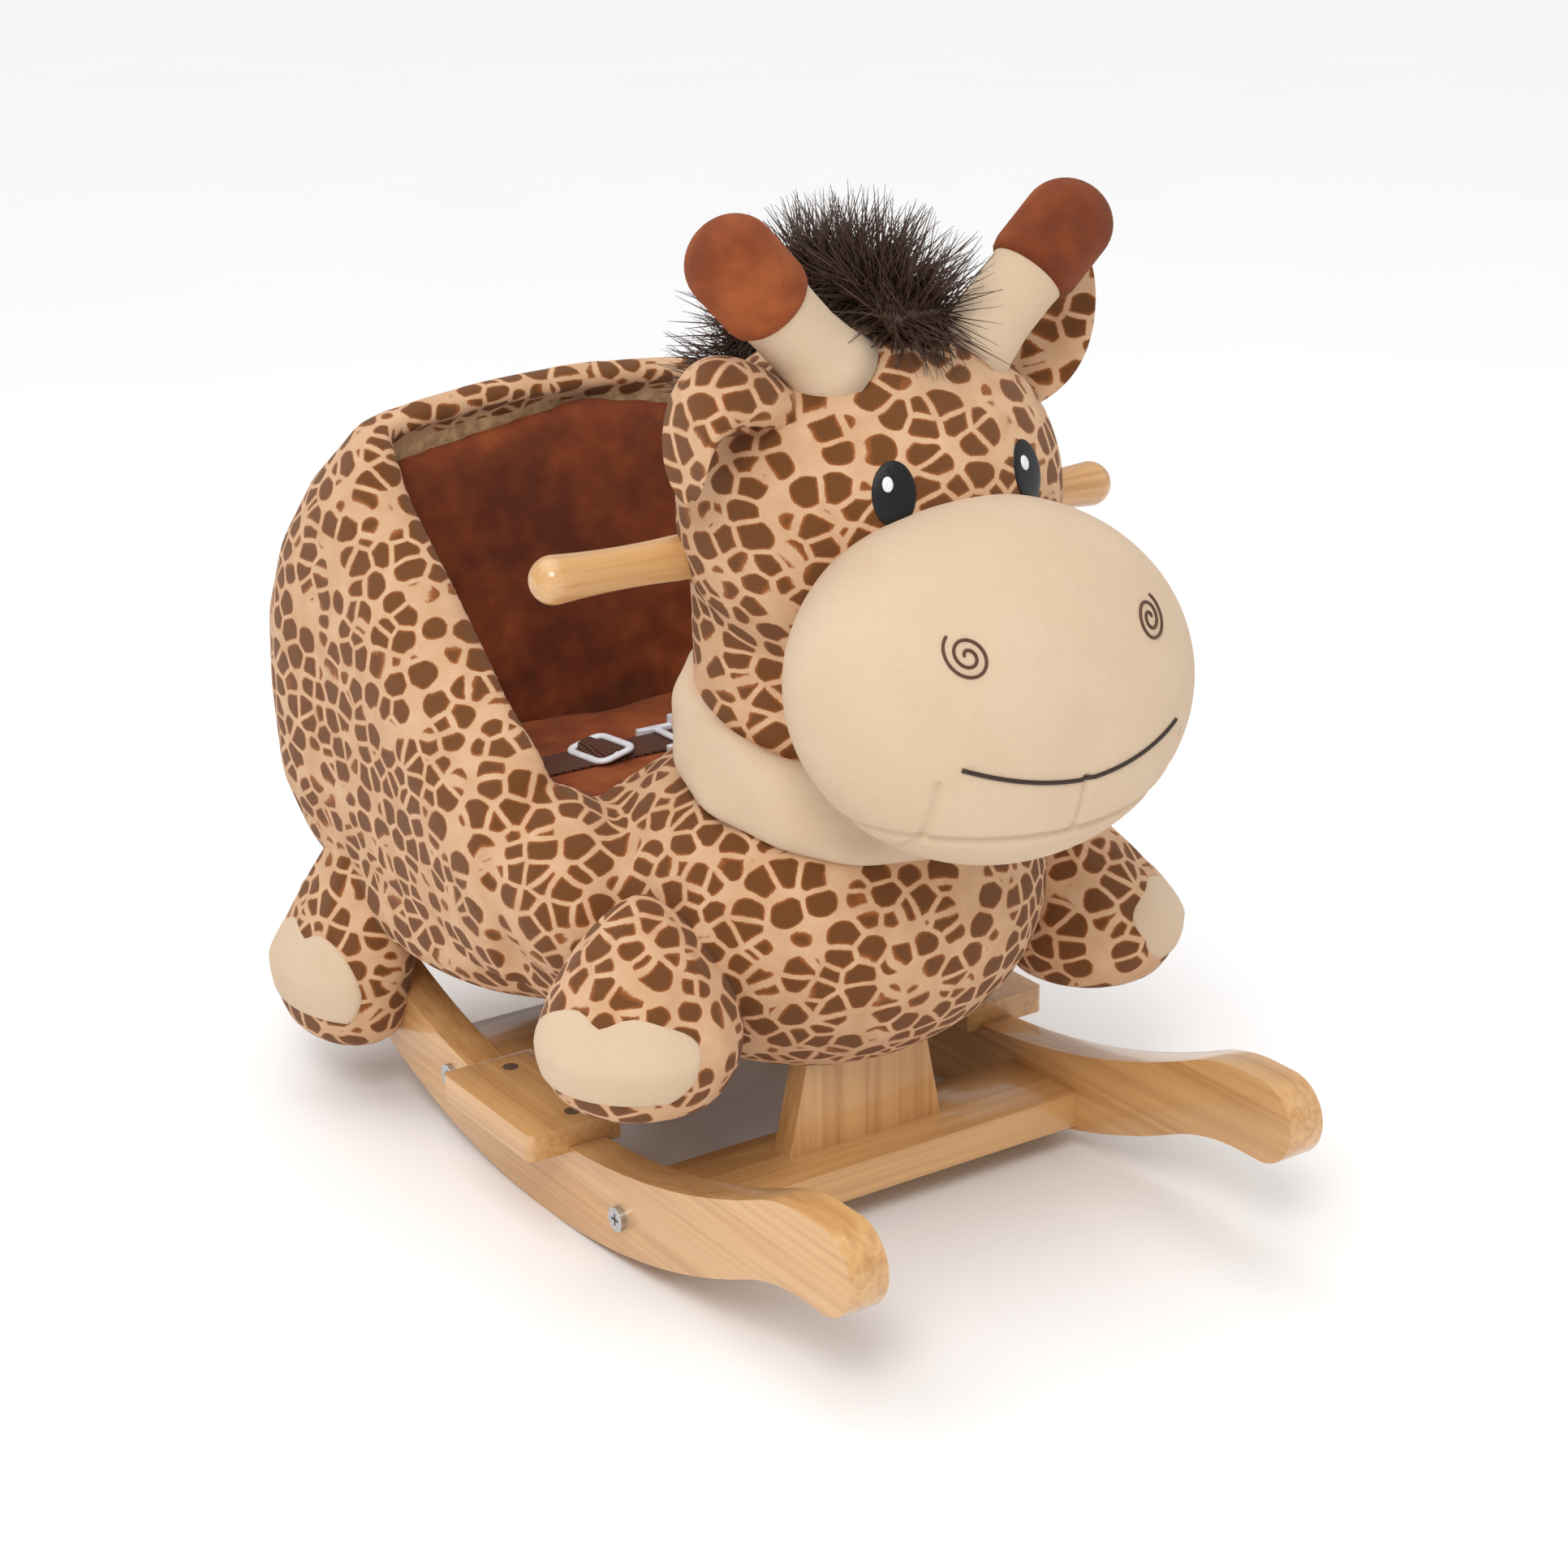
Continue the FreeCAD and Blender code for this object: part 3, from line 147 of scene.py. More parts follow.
def varnished_wood(name, grain_along, light, dark):
    """Fine straight grain along one axis, with slow growth bands and a clear satin coat."""
    wood = Finish(name, 0.42)
    fine = {"x": (5, 330, 330), "y": (330, 5, 330), "z": (330, 330, 5)}[grain_along]
    broad = {"x": (1.6, 26, 26), "y": (26, 1.6, 26), "z": (26, 26, 1.6)}[grain_along]
    pores = wood.noise(1.0, 3, wood.mapped(fine))
    bands = wood.noise(1.0, 4, wood.mapped(broad))
    rings = wood.maths("SINE", wood.maths("MULTIPLY", bands, 34.0))
    growth = wood.maths("MULTIPLY_ADD", rings, 0.5, 0.5)
    mixed = wood.maths("MULTIPLY_ADD", growth, 0.16, wood.maths("MULTIPLY", pores, 0.84))
    wood.colour(wood.ramp(mixed, [(0.25, dark), (0.62, light), (0.85, light)]))
    wood.bump(pores, 0.0001, 0.35)
    rough = wood.maths("MULTIPLY_ADD", wood.noise(60.0), 0.14, 0.33)
    wood.fill(wood.shader.inputs["Roughness"], rough)
    wood.shader.inputs["Coat Weight"].default_value = 0.8
    wood.shader.inputs["Coat Roughness"].default_value = 0.12
    return wood.material


def linked(name, mesh):
    """A new object under a name that can't be mistaken for a CAD node's."""
    item = bpy.data.objects.new(name.replace(" ", "-"), mesh)
    bpy.context.scene.collection.objects.link(item)
    return item


def settled(item):
    """Replace an object's mesh by the result of its modifiers."""
    evaluated = item.evaluated_get(bpy.context.evaluated_depsgraph_get())
    mesh = bpy.data.meshes.new_from_object(evaluated)
    item.modifiers.clear()
    item.data = mesh
    return item


def shown(item, material, body="rocker", replaces=(), smooth=True):
    """Give a finished piece its material, its body and the CAD nodes it stands for."""
    item.data.materials.clear()
    item.data.materials.append(material)
    item.data.polygons.foreach_set("use_smooth", [smooth] * len(item.data.polygons))
    item.data.update()
    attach(item, body)
    if replaces:
        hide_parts(*replaces)
    return item


def cad_copy(node, name, whole_faces=False):
    """A merged copy of a CAD node's mesh, with the triangles of its flat faces joined up if asked."""
    mesh = NODES[node].data.copy()
    solid = bmesh.new()
    solid.from_mesh(mesh)
    bmesh.ops.remove_doubles(solid, verts=solid.verts, dist=1e-5)
    if whole_faces:
        bmesh.ops.dissolve_limit(solid, angle_limit=math.radians(0.5), verts=solid.verts, edges=solid.edges)
    solid.to_mesh(mesh)
    solid.free()
    return linked(name, mesh)


SANDED_ABOVE, SHARP_ABOVE = math.radians(35), math.radians(32)


def eased(node, width):
    """A copy of a CAD node with its sharp edges sanded round."""
    item = cad_copy(node, node.replace("_", " "), whole_faces=True)
    bevel = item.modifiers.new("eased edges", "BEVEL")
    bevel.width, bevel.segments = width, 3
    bevel.limit_method, bevel.angle_limit = "ANGLE", SANDED_ABOVE
    settled(item)
    for polygon in item.data.polygons:
        polygon.use_smooth = True
    item.data.set_sharp_from_angle(angle=SHARP_ABOVE)
    return item


def refinished(material, nodes):
    """Give a material to CAD nodes that keep their own shape."""
    for node in nodes:
        NODES[node].data.materials.clear()
        NODES[node].data.materials.append(material)


PALE_WOOD, DEEP_WOOD = tone(214, 166, 108), tone(190, 138, 82)
WOOD = {axis: varnished_wood(f"varnished wood along {axis}", axis, PALE_WOOD, DEEP_WOOD) for axis in "xyz"}
# Each pair of pieces has its grain along one axis and its edges sanded to one width.
FRAME_PAIRS = ((("runner_left", "runner_right"), "y", 0.0025),
               (("front_cross_bar", "rear_cross_bar"), "x", 0.002),
               (("footrest_left", "footrest_right"), "y", 0.0022),
               (("front_post", "rear_post"), "z", 0.0018),
               (("grip_left", "grip_right"), "x", 0.0008))
for pair, grain, width in FRAME_PAIRS:
    for node in pair:
        shown(eased(node, width), WOOD[grain], replaces=[node])
refinished(WOOD["x"], ("neck_post", "frame_dowels"))


# ---------------------------------------------------------------- bolts, screws, nuts and handle rod
# Zinc plated steel. Bolts with cross recesses and barrel nuts hold the bars to the runners.
# Countersunk screws hold the footrests and posts. The rod runs through the head from grip to grip.
def zinc():
    """Bright plating, slightly clouded, with a fine brushed bump."""
    steel = Finish("zinc plate", 0.3)
    steel.shader.inputs["Metallic"].default_value = 1.0
    cloud = steel.noise(900.0, 3)
    steel.colour(steel.ramp(cloud, [(0.3, tone(168, 172, 176)), (0.7, tone(214, 216, 218))]))
    steel.fill(steel.shader.inputs["Roughness"], steel.maths("MULTIPLY_ADD", cloud, 0.25, 0.2))
    steel.bump(steel.noise(4000.0, 1), 0.00003, 0.4)
    return steel.material


refinished(zinc(), ("frame_bolts", "barrel_nuts", "footrest_screws", "post_screws", "board_screws",
                    "handle_rod"))


# ---------------------------------------------------------------- plywood chair inside the padding
# Sheet birch plywood, cut flat and screwed together as an open box on top of the posts.
# The padding covers all of it.
def birch_ply():
    """Raw birch with visible glue lines."""
    board = Finish("birch plywood", 0.7)
    grain = board.noise(1.0, 3, board.mapped((200, 8, 200)))
    lines = board.maths("SINE", board.maths("MULTIPLY", board.noise(90.0), 20.0))
    mixed = board.maths("MULTIPLY_ADD", lines, 0.1, grain)
    board.colour(board.ramp(mixed, [(0.3, tone(170, 132, 92)), (0.7, tone(210, 176, 132))]))
    board.bump(grain, 0.0001, 0.3)
    return board.material


refinished(birch_ply(), ("chair_board", "side_board_left", "side_board_right", "back_board"))


# ---------------------------------------------------------------- printed body cover
# One sewn skin of short pile plush: chest, belly, and the thick rolled wall of the bucket seat.
# Cream-pink ground printed with brown patches, stuffed with fibre, stapled under the chair board.
def pile(finish, fine=2600.0, depth=0.0006):
    """Nap of a short pile: fine tufts over slow brushing marks."""
    tufts = finish.noise(fine, 2, finish.mapped((1, 1, 0.45)))
    brushed = finish.noise(70.0, 3)
    first = finish.bump(brushed, 0.0022, 0.35)
    finish.bump(tufts, depth, 0.8, first)
    return tufts, brushed


def cell_distance(finish, place, feature):
    """Distances in a field of uneven cells: to each cell's heart, or to its nearest edge."""
    cells = finish.nodes.new("ShaderNodeTexVoronoi")
    cells.feature = feature
    cells.inputs["Scale"].default_value = 1.0
    cells.inputs["Randomness"].default_value = 0.82
    finish.links.new(place, cells.inputs["Vector"])
    return cells.outputs["Distance"]


PATCH_REACH, CORNER_SOFTNESS, FURRY_EDGE = 0.70, 0.08, 0.055
NONE, FULL = (0, 0, 0, 1), (1, 1, 1, 1)


def giraffe_print(name, scale, turn=(0, 0, 0)):
    """Rounded patches with furry edges, paler towards their rims, on a cream-pink ground."""
    plush = Finish(name, 0.85)
    drift = plush.shifted(plush.place, plush.noise(42.0, 2, output="Color"), 0.006)
    place = plush.mapped(scale, turn, drift)
    to_edge = cell_distance(plush, place, "DISTANCE_TO_EDGE")
    round_off = plush.maths("SUBTRACT", PATCH_REACH, cell_distance(plush, place, "F1"))
    patch = plush.maths("SMOOTH_MIN", to_edge, round_off, CORNER_SOFTNESS)
    strands = plush.noise(1.0, 2, plush.mapped((900, 900, 260)))
    edge = plush.maths("MULTIPLY_ADD", strands, FURRY_EDGE, plush.maths("SUBTRACT", patch, FURRY_EDGE / 2))
    tufts, brushed = pile(plush)
    brown = plush.blend(tufts, tone(78, 38, 2), tone(132, 76, 12))
    ground = plush.blend(brushed, tone(232, 194, 156), tone(196, 146, 104))
    rim = plush.blend(plush.ramp(edge, [(0.115, NONE), (0.165, FULL)]), tone(150, 82, 22), brown)
    plush.colour(plush.blend(plush.ramp(edge, [(0.072, NONE), (0.104, FULL)]), ground, rim))
    plush.sheen(0.12, 0.5, tone(255, 236, 220))
    return plush.material


def points_of(item):
    flat = np.empty(len(item.data.vertices) * 3)
    item.data.vertices.foreach_get("co", flat)
    return flat.reshape(-1, 3)


def move_points(item, points):
    item.data.vertices.foreach_set("co", np.asarray(points, float).ravel())
    item.data.update()


def meshed(name, solid):
    """A new object with a finished solid's mesh."""
    mesh = bpy.data.meshes.new(name)
    solid.to_mesh(mesh)
    solid.free()
    return linked(name, mesh)


def egg(name, centre, radii, tilt=0.0, fineness=5):
    """Stuffed oval, leaning about the X axis."""
    solid = bmesh.new()
    bmesh.ops.create_icosphere(solid, subdivisions=fineness, radius=1.0)
    shape = Matrix.Translation(centre) @ Matrix.Rotation(tilt, 4, "X") @ Matrix.Diagonal((*radii, 1))
    bmesh.ops.transform(solid, matrix=shape, verts=solid.verts)
    return meshed(name, solid)


def lofted(name, rings, closed=False):
    """Closed skin through rings of equal count: capped at both ends, or joined end to end."""
    count = len(rings[0])
    points = [tuple(point) for ring in rings for point in ring]
    faces = []
    for row in range(len(rings) if closed else len(rings) - 1):
        here, there = row * count, ((row + 1) % len(rings)) * count
        for step in range(count):
            ahead = (step + 1) % count
            faces.append((here + step, here + ahead, there + ahead, there + step))
    if not closed:
        for ring, base, way in ((rings[0], 0, -1), (rings[-1], (len(rings) - 1) * count, 1)):
            points.append(tuple(np.mean([tuple(point) for point in ring], axis=0)))
            middle = len(points) - 1
            for step in range(count):
                pair = (base + step, base + (step + 1) % count)
                faces.append((*pair[::way], middle))
    mesh = bpy.data.meshes.new(name)
    mesh.from_pydata(points, [], faces)
    solid = bmesh.new()
    solid.from_mesh(mesh)
    bmesh.ops.remove_doubles(solid, verts=solid.verts, dist=1e-6)
    bmesh.ops.recalc_face_normals(solid, faces=solid.faces)
    solid.to_mesh(mesh)
    solid.free()
    return linked(name, mesh)


def joined(name, items):
    """One object made of several, which it replaces."""
    together = bmesh.new()
    for item in items:
        together.from_mesh(item.data)
        bpy.data.objects.remove(item)
    return meshed(name, together)


def sewn_together(name, items, voxel, rounds):
    """Stuffed forms run into one skin, with the joins softened."""
    whole = joined(name, items)
    remesh = whole.modifiers.new("one skin", "REMESH")
    remesh.mode, remesh.voxel_size = "VOXEL", voxel
    ease = whole.modifiers.new("softened", "SMOOTH")
    ease.factor, ease.iterations = 0.5, rounds
    return settled(whole)


SEAT_HALF, SEAT_FRONT, SEAT_BACK, SEAT_FLOOR = 0.116, 0.013, 0.162, 0.14
CORNER, WALL_FRONT = 0.012, 0.004
RIM_SIDE = ((0.000, 0.212), (0.006, 0.226), (0.040, 0.247), (0.085, 0.287), (0.123, 0.318), (0.155, 0.345))
RIM_CORNER, RIM_MIDDLE = 0.352, 0.370
BACK_HALF, BACK_STARTS = 0.14, 0.135


def rim_height(x, y):
    """Top of the rolled edge: low at the front, rising along the sides, crowned at the back."""
    side = np.interp(y, *zip(*RIM_SIDE))
    back = RIM_MIDDLE - (RIM_MIDDLE - RIM_CORNER) * min(1.0, abs(x) / BACK_HALF) ** 2
    share = min(1.0, max(0.0, (y - BACK_STARTS) / (SEAT_BACK - BACK_STARTS)))
    return side + (back - side) * share


def seat_path():
    """Points and outward directions along the inside of the seat wall, from the left front round the back."""
    corner_x, corner_y = SEAT_HALF - CORNER, SEAT_BACK - CORNER
    stops = [(SEAT_HALF, y, 0.0) for y in np.linspace(WALL_FRONT, corner_y, 26)]
    stops += [(corner_x + CORNER * math.cos(turn), corner_y + CORNER * math.sin(turn), turn)
              for turn in np.linspace(0.1, math.pi / 2 - 0.1, 14)]
    stops += [(x, SEAT_BACK, math.pi / 2) for x in np.linspace(corner_x, 0, 16)]
    other = [(-x, y, math.pi - turn) for x, y, turn in reversed(stops[:-1])]
    return stops + other


RIM_OUTSIDE, HIGHEST_BULGE, TUCK = 0.021, 0.262, 0.166


def wall_section(x, y, turn):
    """Section of the seat wall: a thin rolled rim over a wall that swells outwards and tucks in below."""
    rim = rim_height(x, y)
    stretch = 1.0 + 2.1 * math.sin(turn) ** 2
    bulge = min(HIGHEST_BULGE, rim - 0.045)
    inside = [(0.0135, 0.120), (0.0135, rim - 0.014), (0.001, rim - 0.0125), (0.0, rim - 0.007)]
    top = [(0.004, rim - 0.0015), (0.011, rim), (RIM_OUTSIDE, rim - 0.004)]
    swell = [(0.033, (rim * 2 + bulge) / 3 - 0.004), (0.041, (rim + bulge * 2) / 3 - 0.006),
             (0.045, bulge - 0.01), (0.0455, (bulge + TUCK) / 2), (0.044, TUCK)]
    below = [(0.038, 0.136), (0.028, 0.115)]
    ring = []
    for outward, height in inside + top + swell + below:
        reach = outward if outward <= RIM_OUTSIDE else RIM_OUTSIDE + (outward - RIM_OUTSIDE) * stretch
        ring.append((x + math.cos(turn) * reach, y + math.sin(turn) * reach, height))
    return ring


def pressed_flat(item, where):
    """Press a stuffed form flat at the front of the open seat, wherever its points pass a test."""
    points = points_of(item)
    points[(points[:, 1] > SEAT_FRONT) & where(points), 1] = SEAT_FRONT
    move_points(item, points)


BARREL_CENTRE, BARREL_RADII, BARREL_TOP = (0, 0.118, 0.131), (0.154, 0.140, 0.066), 0.146
SQUARENESS, MOST_PLUMP = 2.9, 1.17
SHOULDER_X, SHOULDER_Y, SHOULDER_Z = 0.118, -0.004, 0.168
SHOULDER_RADII = (0.036, 0.060, 0.038)
GIRAFFE_PRINT = giraffe_print("giraffe print plush", (72, 72, 84))
chest = egg("chest", (0, -0.046, 0.155), (0.114, 0.101, 0.0855), fineness=6)
barrel = egg("barrel", BARREL_CENTRE, BARREL_RADII, fineness=6)
barrel_points = points_of(barrel)
barrel_points[:, 2] = np.minimum(barrel_points[:, 2], BARREL_TOP)
spread = np.abs((barrel_points - BARREL_CENTRE) / BARREL_RADII)
square = (spread ** 2).sum(axis=1) ** 0.5 / ((spread ** SQUARENESS).sum(axis=1) ** (1 / SQUARENESS) + 1e-9)
plump = np.clip(square, 1.0, MOST_PLUMP)
barrel_points[:, 0] *= plump
barrel_points[:, 1] = BARREL_CENTRE[1] + (barrel_points[:, 1] - BARREL_CENTRE[1]) * plump
move_points(barrel, barrel_points)
flank = egg("flank", (0, 0.004, 0.141), (0.141, 0.115, 0.077), fineness=6)
shoulders = [egg(f"shoulder {side}", (side * SHOULDER_X, SHOULDER_Y, SHOULDER_Z), SHOULDER_RADII, tilt=0.5)
             for side in (-1, 1)]
for form in (chest, flank):
    pressed_flat(form, lambda points: points[:, 2] > SEAT_FLOOR)
for form in shoulders:
    pressed_flat(form, lambda points: np.abs(points[:, 0]) < SEAT_HALF + 0.013)
wall = lofted("seat wall", [wall_section(*stop) for stop in seat_path()])
cover = sewn_together("printed body cover", [chest, barrel, flank, *shoulders, wall], 0.0042, 9)
shown(cover, GIRAFFE_PRINT,
      replaces=["body_plush", "side_bolster_left", "side_bolster_right", "back_bolster"])


# ---------------------------------------------------------------- seat cushion and linings
# Rust brown short pile plush over thin foam: a floor cushion, two side linings and a back lining.
# The linings are sewn into the rolled rim and meet in tight creases at the corners.
def rust_plush():
    """Mottled rust pile that darkens where it has been brushed against the nap."""
    plush = Finish("rust plush", 0.9)
    tufts, brushed = pile(plush, 3000.0, 0.0005)
    hand = plush.noise(16.0, 5)
    marks = plush.maths("MULTIPLY_ADD", hand, 0.7, plush.maths("MULTIPLY", brushed, 0.3))
    base = plush.ramp(marks, [(0.36, tone(98, 40, 8)), (0.5, tone(138, 62, 20)), (0.64, tone(178, 92, 40))])
    plush.colour(plush.blend(plush.maths("MULTIPLY", tufts, 0.4), base, tone(84, 32, 8)))
    plush.sheen(0.22, 0.45, tone(214, 130, 80))
    return plush.material


def normals_of(item):
    return np.array([vertex.normal[:] for vertex in item.data.vertices])


SIM_FRAMES, PRESSURE = 20, 4


def puffed(item, voxel, cap, shrink):
    """Blow a pad up as cloth over its filling, and stop each point at the cap."""
    remesh = item.modifiers.new("cloth grid", "REMESH")
    remesh.mode, remesh.voxel_size = "VOXEL", voxel
    settled(item)
    move_points(item, points_of(item) - normals_of(item) * shrink)
    start = points_of(item)
    cloth = item.modifiers.new("filling", "CLOTH")
    cloth.settings.use_pressure = True
    cloth.settings.uniform_pressure_force = PRESSURE
    cloth.settings.effector_weights.gravity = 0
    cloth.settings.quality = 5
    scene = bpy.context.scene
    for step in range(1, SIM_FRAMES + 1):
        scene.frame_set(step)
    settled(item)
    scene.frame_set(1)
    travel = points_of(item) - start
    length = np.linalg.norm(travel, axis=1, keepdims=True) + 1e-9
    move_points(item, start + travel * np.minimum(1, cap / length))
    smooth = item.modifiers.new("softened", "SMOOTH")
    smooth.factor, smooth.iterations = 0.5, 3
    finer = item.modifiers.new("finer", "SUBSURF")
    finer.levels = finer.render_levels = 1
    return settled(item)


RUST = rust_plush()
# Node, piece, grid of the cloth, how far it may puff up, and how far it starts inside its filling.
PADS = (("seat_cushion", "seat cushion", 0.0055, 0.006, 0.003),
        ("side_lining_left", "left lining", 0.004, 0.003, 0.0012),
        ("side_lining_right", "right lining", 0.004, 0.003, 0.0012),
        ("back_lining", "back lining", 0.0045, 0.004, 0.0014))
for node, name, voxel, cap, shrink in PADS:
    pad = puffed(cad_copy(node, name), voxel, cap, shrink)
    shown(pad, RUST, replaces=[node])


# ---------------------------------------------------------------- head and neck
# Printed plush head on a thick neck, stuffed firmly with fibre and sewn to the chest.
# The neck post runs up inside it to the handle rod.
def full_turn(count):
    """Evenly spaced angles once round."""
    return np.linspace(0, 2 * math.pi, count, endpoint=False)


NECK_LOW, NECK_RISE, NECK_Y = 0.215, 0.135, -0.064
skull = egg("skull", (0, -0.085, 0.353), (0.093, 0.075, 0.0825), fineness=6)
neck_rings = []
for height in np.linspace(NECK_LOW, NECK_LOW + NECK_RISE, 12):
    share = (height - NECK_LOW) / NECK_RISE
    wide, deep = 0.071 + 0.004 * share, 0.060 + 0.002 * share
    neck_rings.append([(wide * math.cos(turn), NECK_Y + deep * math.sin(turn), height)
                       for turn in full_turn(64)])
neck = lofted("neck", neck_rings)
head = sewn_together("head and neck", [skull, neck], 0.0036, 9)
HEAD_PRINT = giraffe_print("giraffe print on the head", (66, 66, 88), (0.3, 0.2, 0))
shown(head, HEAD_PRINT, replaces=["head_plush"])


# ---------------------------------------------------------------- muzzle, mouth and nostrils
# Cream fleece, sewn from a top panel and a chin panel with a short centre seam under the mouth.
# The mouth and the spiral nostrils are embroidered in brown thread.
def cream_fleece():
    """Soft nap with faint cloudy shading."""
    fleece = Finish("cream fleece", 0.9)
    tufts, brushed = pile(fleece, 2200.0, 0.0004)
    clouds = fleece.noise(22.0, 4)
    base = fleece.ramp(clouds, [(0.35, tone(214, 188, 158)), (0.65, tone(219, 194, 166))])
    fleece.colour(fleece.blend(fleece.maths("MULTIPLY", tufts, 0.22), base, tone(190, 158, 126)))
    fleece.sheen(0.12, 0.5, tone(255, 244, 228))
    return fleece.material


def skin_tree(item):
    """The skin of a piece as a tree that rays can be dropped on."""
    return BVHTree.FromPolygons([tuple(point) for point in points_of(item)],
                                [tuple(polygon.vertices) for polygon in item.data.polygons])


CREAM = cream_fleece()
CHIN_SEAM_Z, CHIN_SEAM_BOW, CENTRE_SEAM_TOP = 0.238, 0.9, 0.266
CHEEK_SEAM_X, CHEEK_SEAM_TOP = 0.066, 0.27
SEAMS_BEFORE_Y, SEAM_WIDTH, NO_SEAM = -0.16, 0.0016, 1.0
muzzle = egg("muzzle", (0, -0.1756, 0.291), (0.101, 0.0616, 0.0805), -math.radians(27), fineness=7)
skin, outward = points_of(muzzle), normals_of(muzzle)
x, z, front = skin[:, 0], skin[:, 2], skin[:, 1] < SEAMS_BEFORE_Y
chin = np.where(front, z - (CHIN_SEAM_Z + CHIN_SEAM_BOW * x ** 2), NO_SEAM)
centre = np.where(front & (z > CHIN_SEAM_Z) & (z < CENTRE_SEAM_TOP), x, NO_SEAM)
cheek = np.where(front & (z < CHEEK_SEAM_TOP), np.abs(x) - CHEEK_SEAM_X, NO_SEAM)
for from_seam, depth in ((chin, 0.0030), (centre, 0.0022), (cheek, 0.0020)):
    skin = skin - outward * (depth * np.exp(-(from_seam / SEAM_WIDTH) ** 2))[:, None]
move_points(muzzle, skin)
muzzle_skin = skin_tree(muzzle)
shown(muzzle, CREAM, replaces=["muzzle"])


def thread(name, red, green, blue):
    """Twisted embroidery thread with a silky lustre."""
    silk = Finish(name, 0.5)
    twist = silk.noise(2400.0, 1)
    silk.colour(silk.blend(twist, tone(red, green, blue), tone(red * 0.5, green * 0.5, blue * 0.5)))
    silk.bump(twist, 0.0002, 0.6)
    silk.sheen(0.3, 0.3, tone(200, 170, 150))
    return silk.material


def laid_on(tree, point, direction, proud):
    """Where a point dropped along a direction lands on a skin, lifted a little."""
    spot, normal, _, _ = tree.ray_cast(Vector(point), Vector(direction).normalized())
    return spot + normal * proud


def corded(name, line, radius, sides=8):
    """Round thread along a line of points."""
    rings = []
    for step, point in enumerate(line):
        ahead = line[min(step + 1, len(line) - 1)] - line[max(step - 1, 0)]
        ahead.normalize()
        across = across - ahead * across.dot(ahead) if rings else ahead.orthogonal()
        across.normalize()
        lift = ahead.cross(across)
        rings.append([point + (across * math.cos(turn) + lift * math.sin(turn)) * radius
                      for turn in full_turn(sides)])
    return lofted(name, rings)


BROWN_THREAD = thread("brown embroidery", 104, 58, 30)
DARK_THREAD = thread("dark embroidery", 58, 34, 22)
TOWARDS_BACK, IN_FRONT = (0, 1, 0), -0.4
MOUTH_HALF, MOUTH_Z = 0.058, 0.264
NOSTRIL_X, NOSTRIL_Z, COIL_ANGLE = 0.049, 0.321, 4.3 * math.pi
mouth_line = []
for step in np.linspace(-1, 1, 90):
    smile = MOUTH_Z + 0.010 * step ** 2 + 0.002 * abs(step)
    mouth_line.append(laid_on(muzzle_skin, (MOUTH_HALF * step, IN_FRONT, smile), TOWARDS_BACK, 0.0003))
shown(corded("mouth", mouth_line, 0.0010), DARK_THREAD)
spirals = []
for side in (-1, 1):
    coil = []
    for share in np.linspace(0, 1, 110):
        turn, reach = share * COIL_ANGLE, 0.0012 + 0.0082 * share
        start = (side * (NOSTRIL_X + reach * math.cos(turn)), IN_FRONT, NOSTRIL_Z + reach * math.sin(turn))
        coil.append(laid_on(muzzle_skin, start, TOWARDS_BACK, 0.0002))
    spirals.append(corded(f"nostril {side}", coil, 0.00075, 6))
shown(joined("nostrils", spirals), BROWN_THREAD)


# ---------------------------------------------------------------- eyes
# Black ovals in satin stitch on the front of the head, just above the muzzle.
# Each has a small white patch laid over it: a painted highlight where the light glints on the eye.
def badge(name, tree, centre, half_size, proud, edge, facing, outline=None):
    """Thin domed patch lying on a skin, oval or to an outline of reach by turn."""
    half_wide, half_tall = half_size
    facing = Vector(facing).normalized()
    across = facing.cross(Vector((0, 0, 1))).normalized()
    upward = across.cross(facing).normalized()
    rings = []
    for share in (0.04, 0.2, 0.4, 0.6, 0.75, 0.87, 0.95, 1.0):
        ring = []
        height = edge + (proud - edge) * math.sqrt(max(0.0, 1 - share ** 4))
        for turn in full_turn(56):
            reach = share * (outline(turn) if outline else 1.0)
            aside, above = half_wide * reach * math.cos(turn), half_tall * reach * math.sin(turn)
            point = Vector(centre) + across * aside + upward * above - facing * 0.2
            ring.append(laid_on(tree, point, facing, height))
        rings.append(ring)
    base = [[Vector(point) + facing * (proud + edge) * 1.5 for point in rings[-1]]]
    return lofted(name, rings + base)


def satin(name, colour, dark):
    """Long parallel stitches, close together, with a soft lustre."""
    stitch = Finish(name, 0.38)
    lines = stitch.noise(1.0, 1, stitch.mapped((1900, 1900, 160)))
    stitch.colour(stitch.blend(lines, colour, dark))
    stitch.bump(lines, 0.00025, 0.9)
    stitch.shader.inputs["Specular IOR Level"].default_value = 0.35
    return stitch.material


BLACK_SATIN = satin("black satin stitch", tone(26, 25, 26), tone(9, 9, 10))
# The white is a painted highlight: it stands for the light glinting on each black eye.
PAINTED_EYE_HIGHLIGHT = satin("painted eye highlight", tone(246, 246, 244), tone(214, 214, 214))
EYE_HALF, GLINT_HALF, GLINT_SHIFT = (0.0098, 0.0135), (0.0024, 0.0031), Vector((-0.0032, 0, 0.0042))
head_skin = skin_tree(head)
eyes, glints = [], []
for side in (-1, 1):
    facing = (-side * 0.42, 1, 0.05)
    middle = Vector((side * 0.034, -0.146, 0.373))
    eyes.append(badge(f"eye {side}", head_skin, middle, EYE_HALF, 0.0012, 0.0004, facing))
    # The glint patch is a painted highlight, raised a little over the eye.
    glints.append(badge(f"glint {side}", head_skin, middle + GLINT_SHIFT, GLINT_HALF, 0.0021, 0.0014, facing))
shown(joined("eyes", eyes), BLACK_SATIN, replaces=["eye_patches"])
shown(joined("eye glints", glints), PAINTED_EYE_HIGHLIGHT)


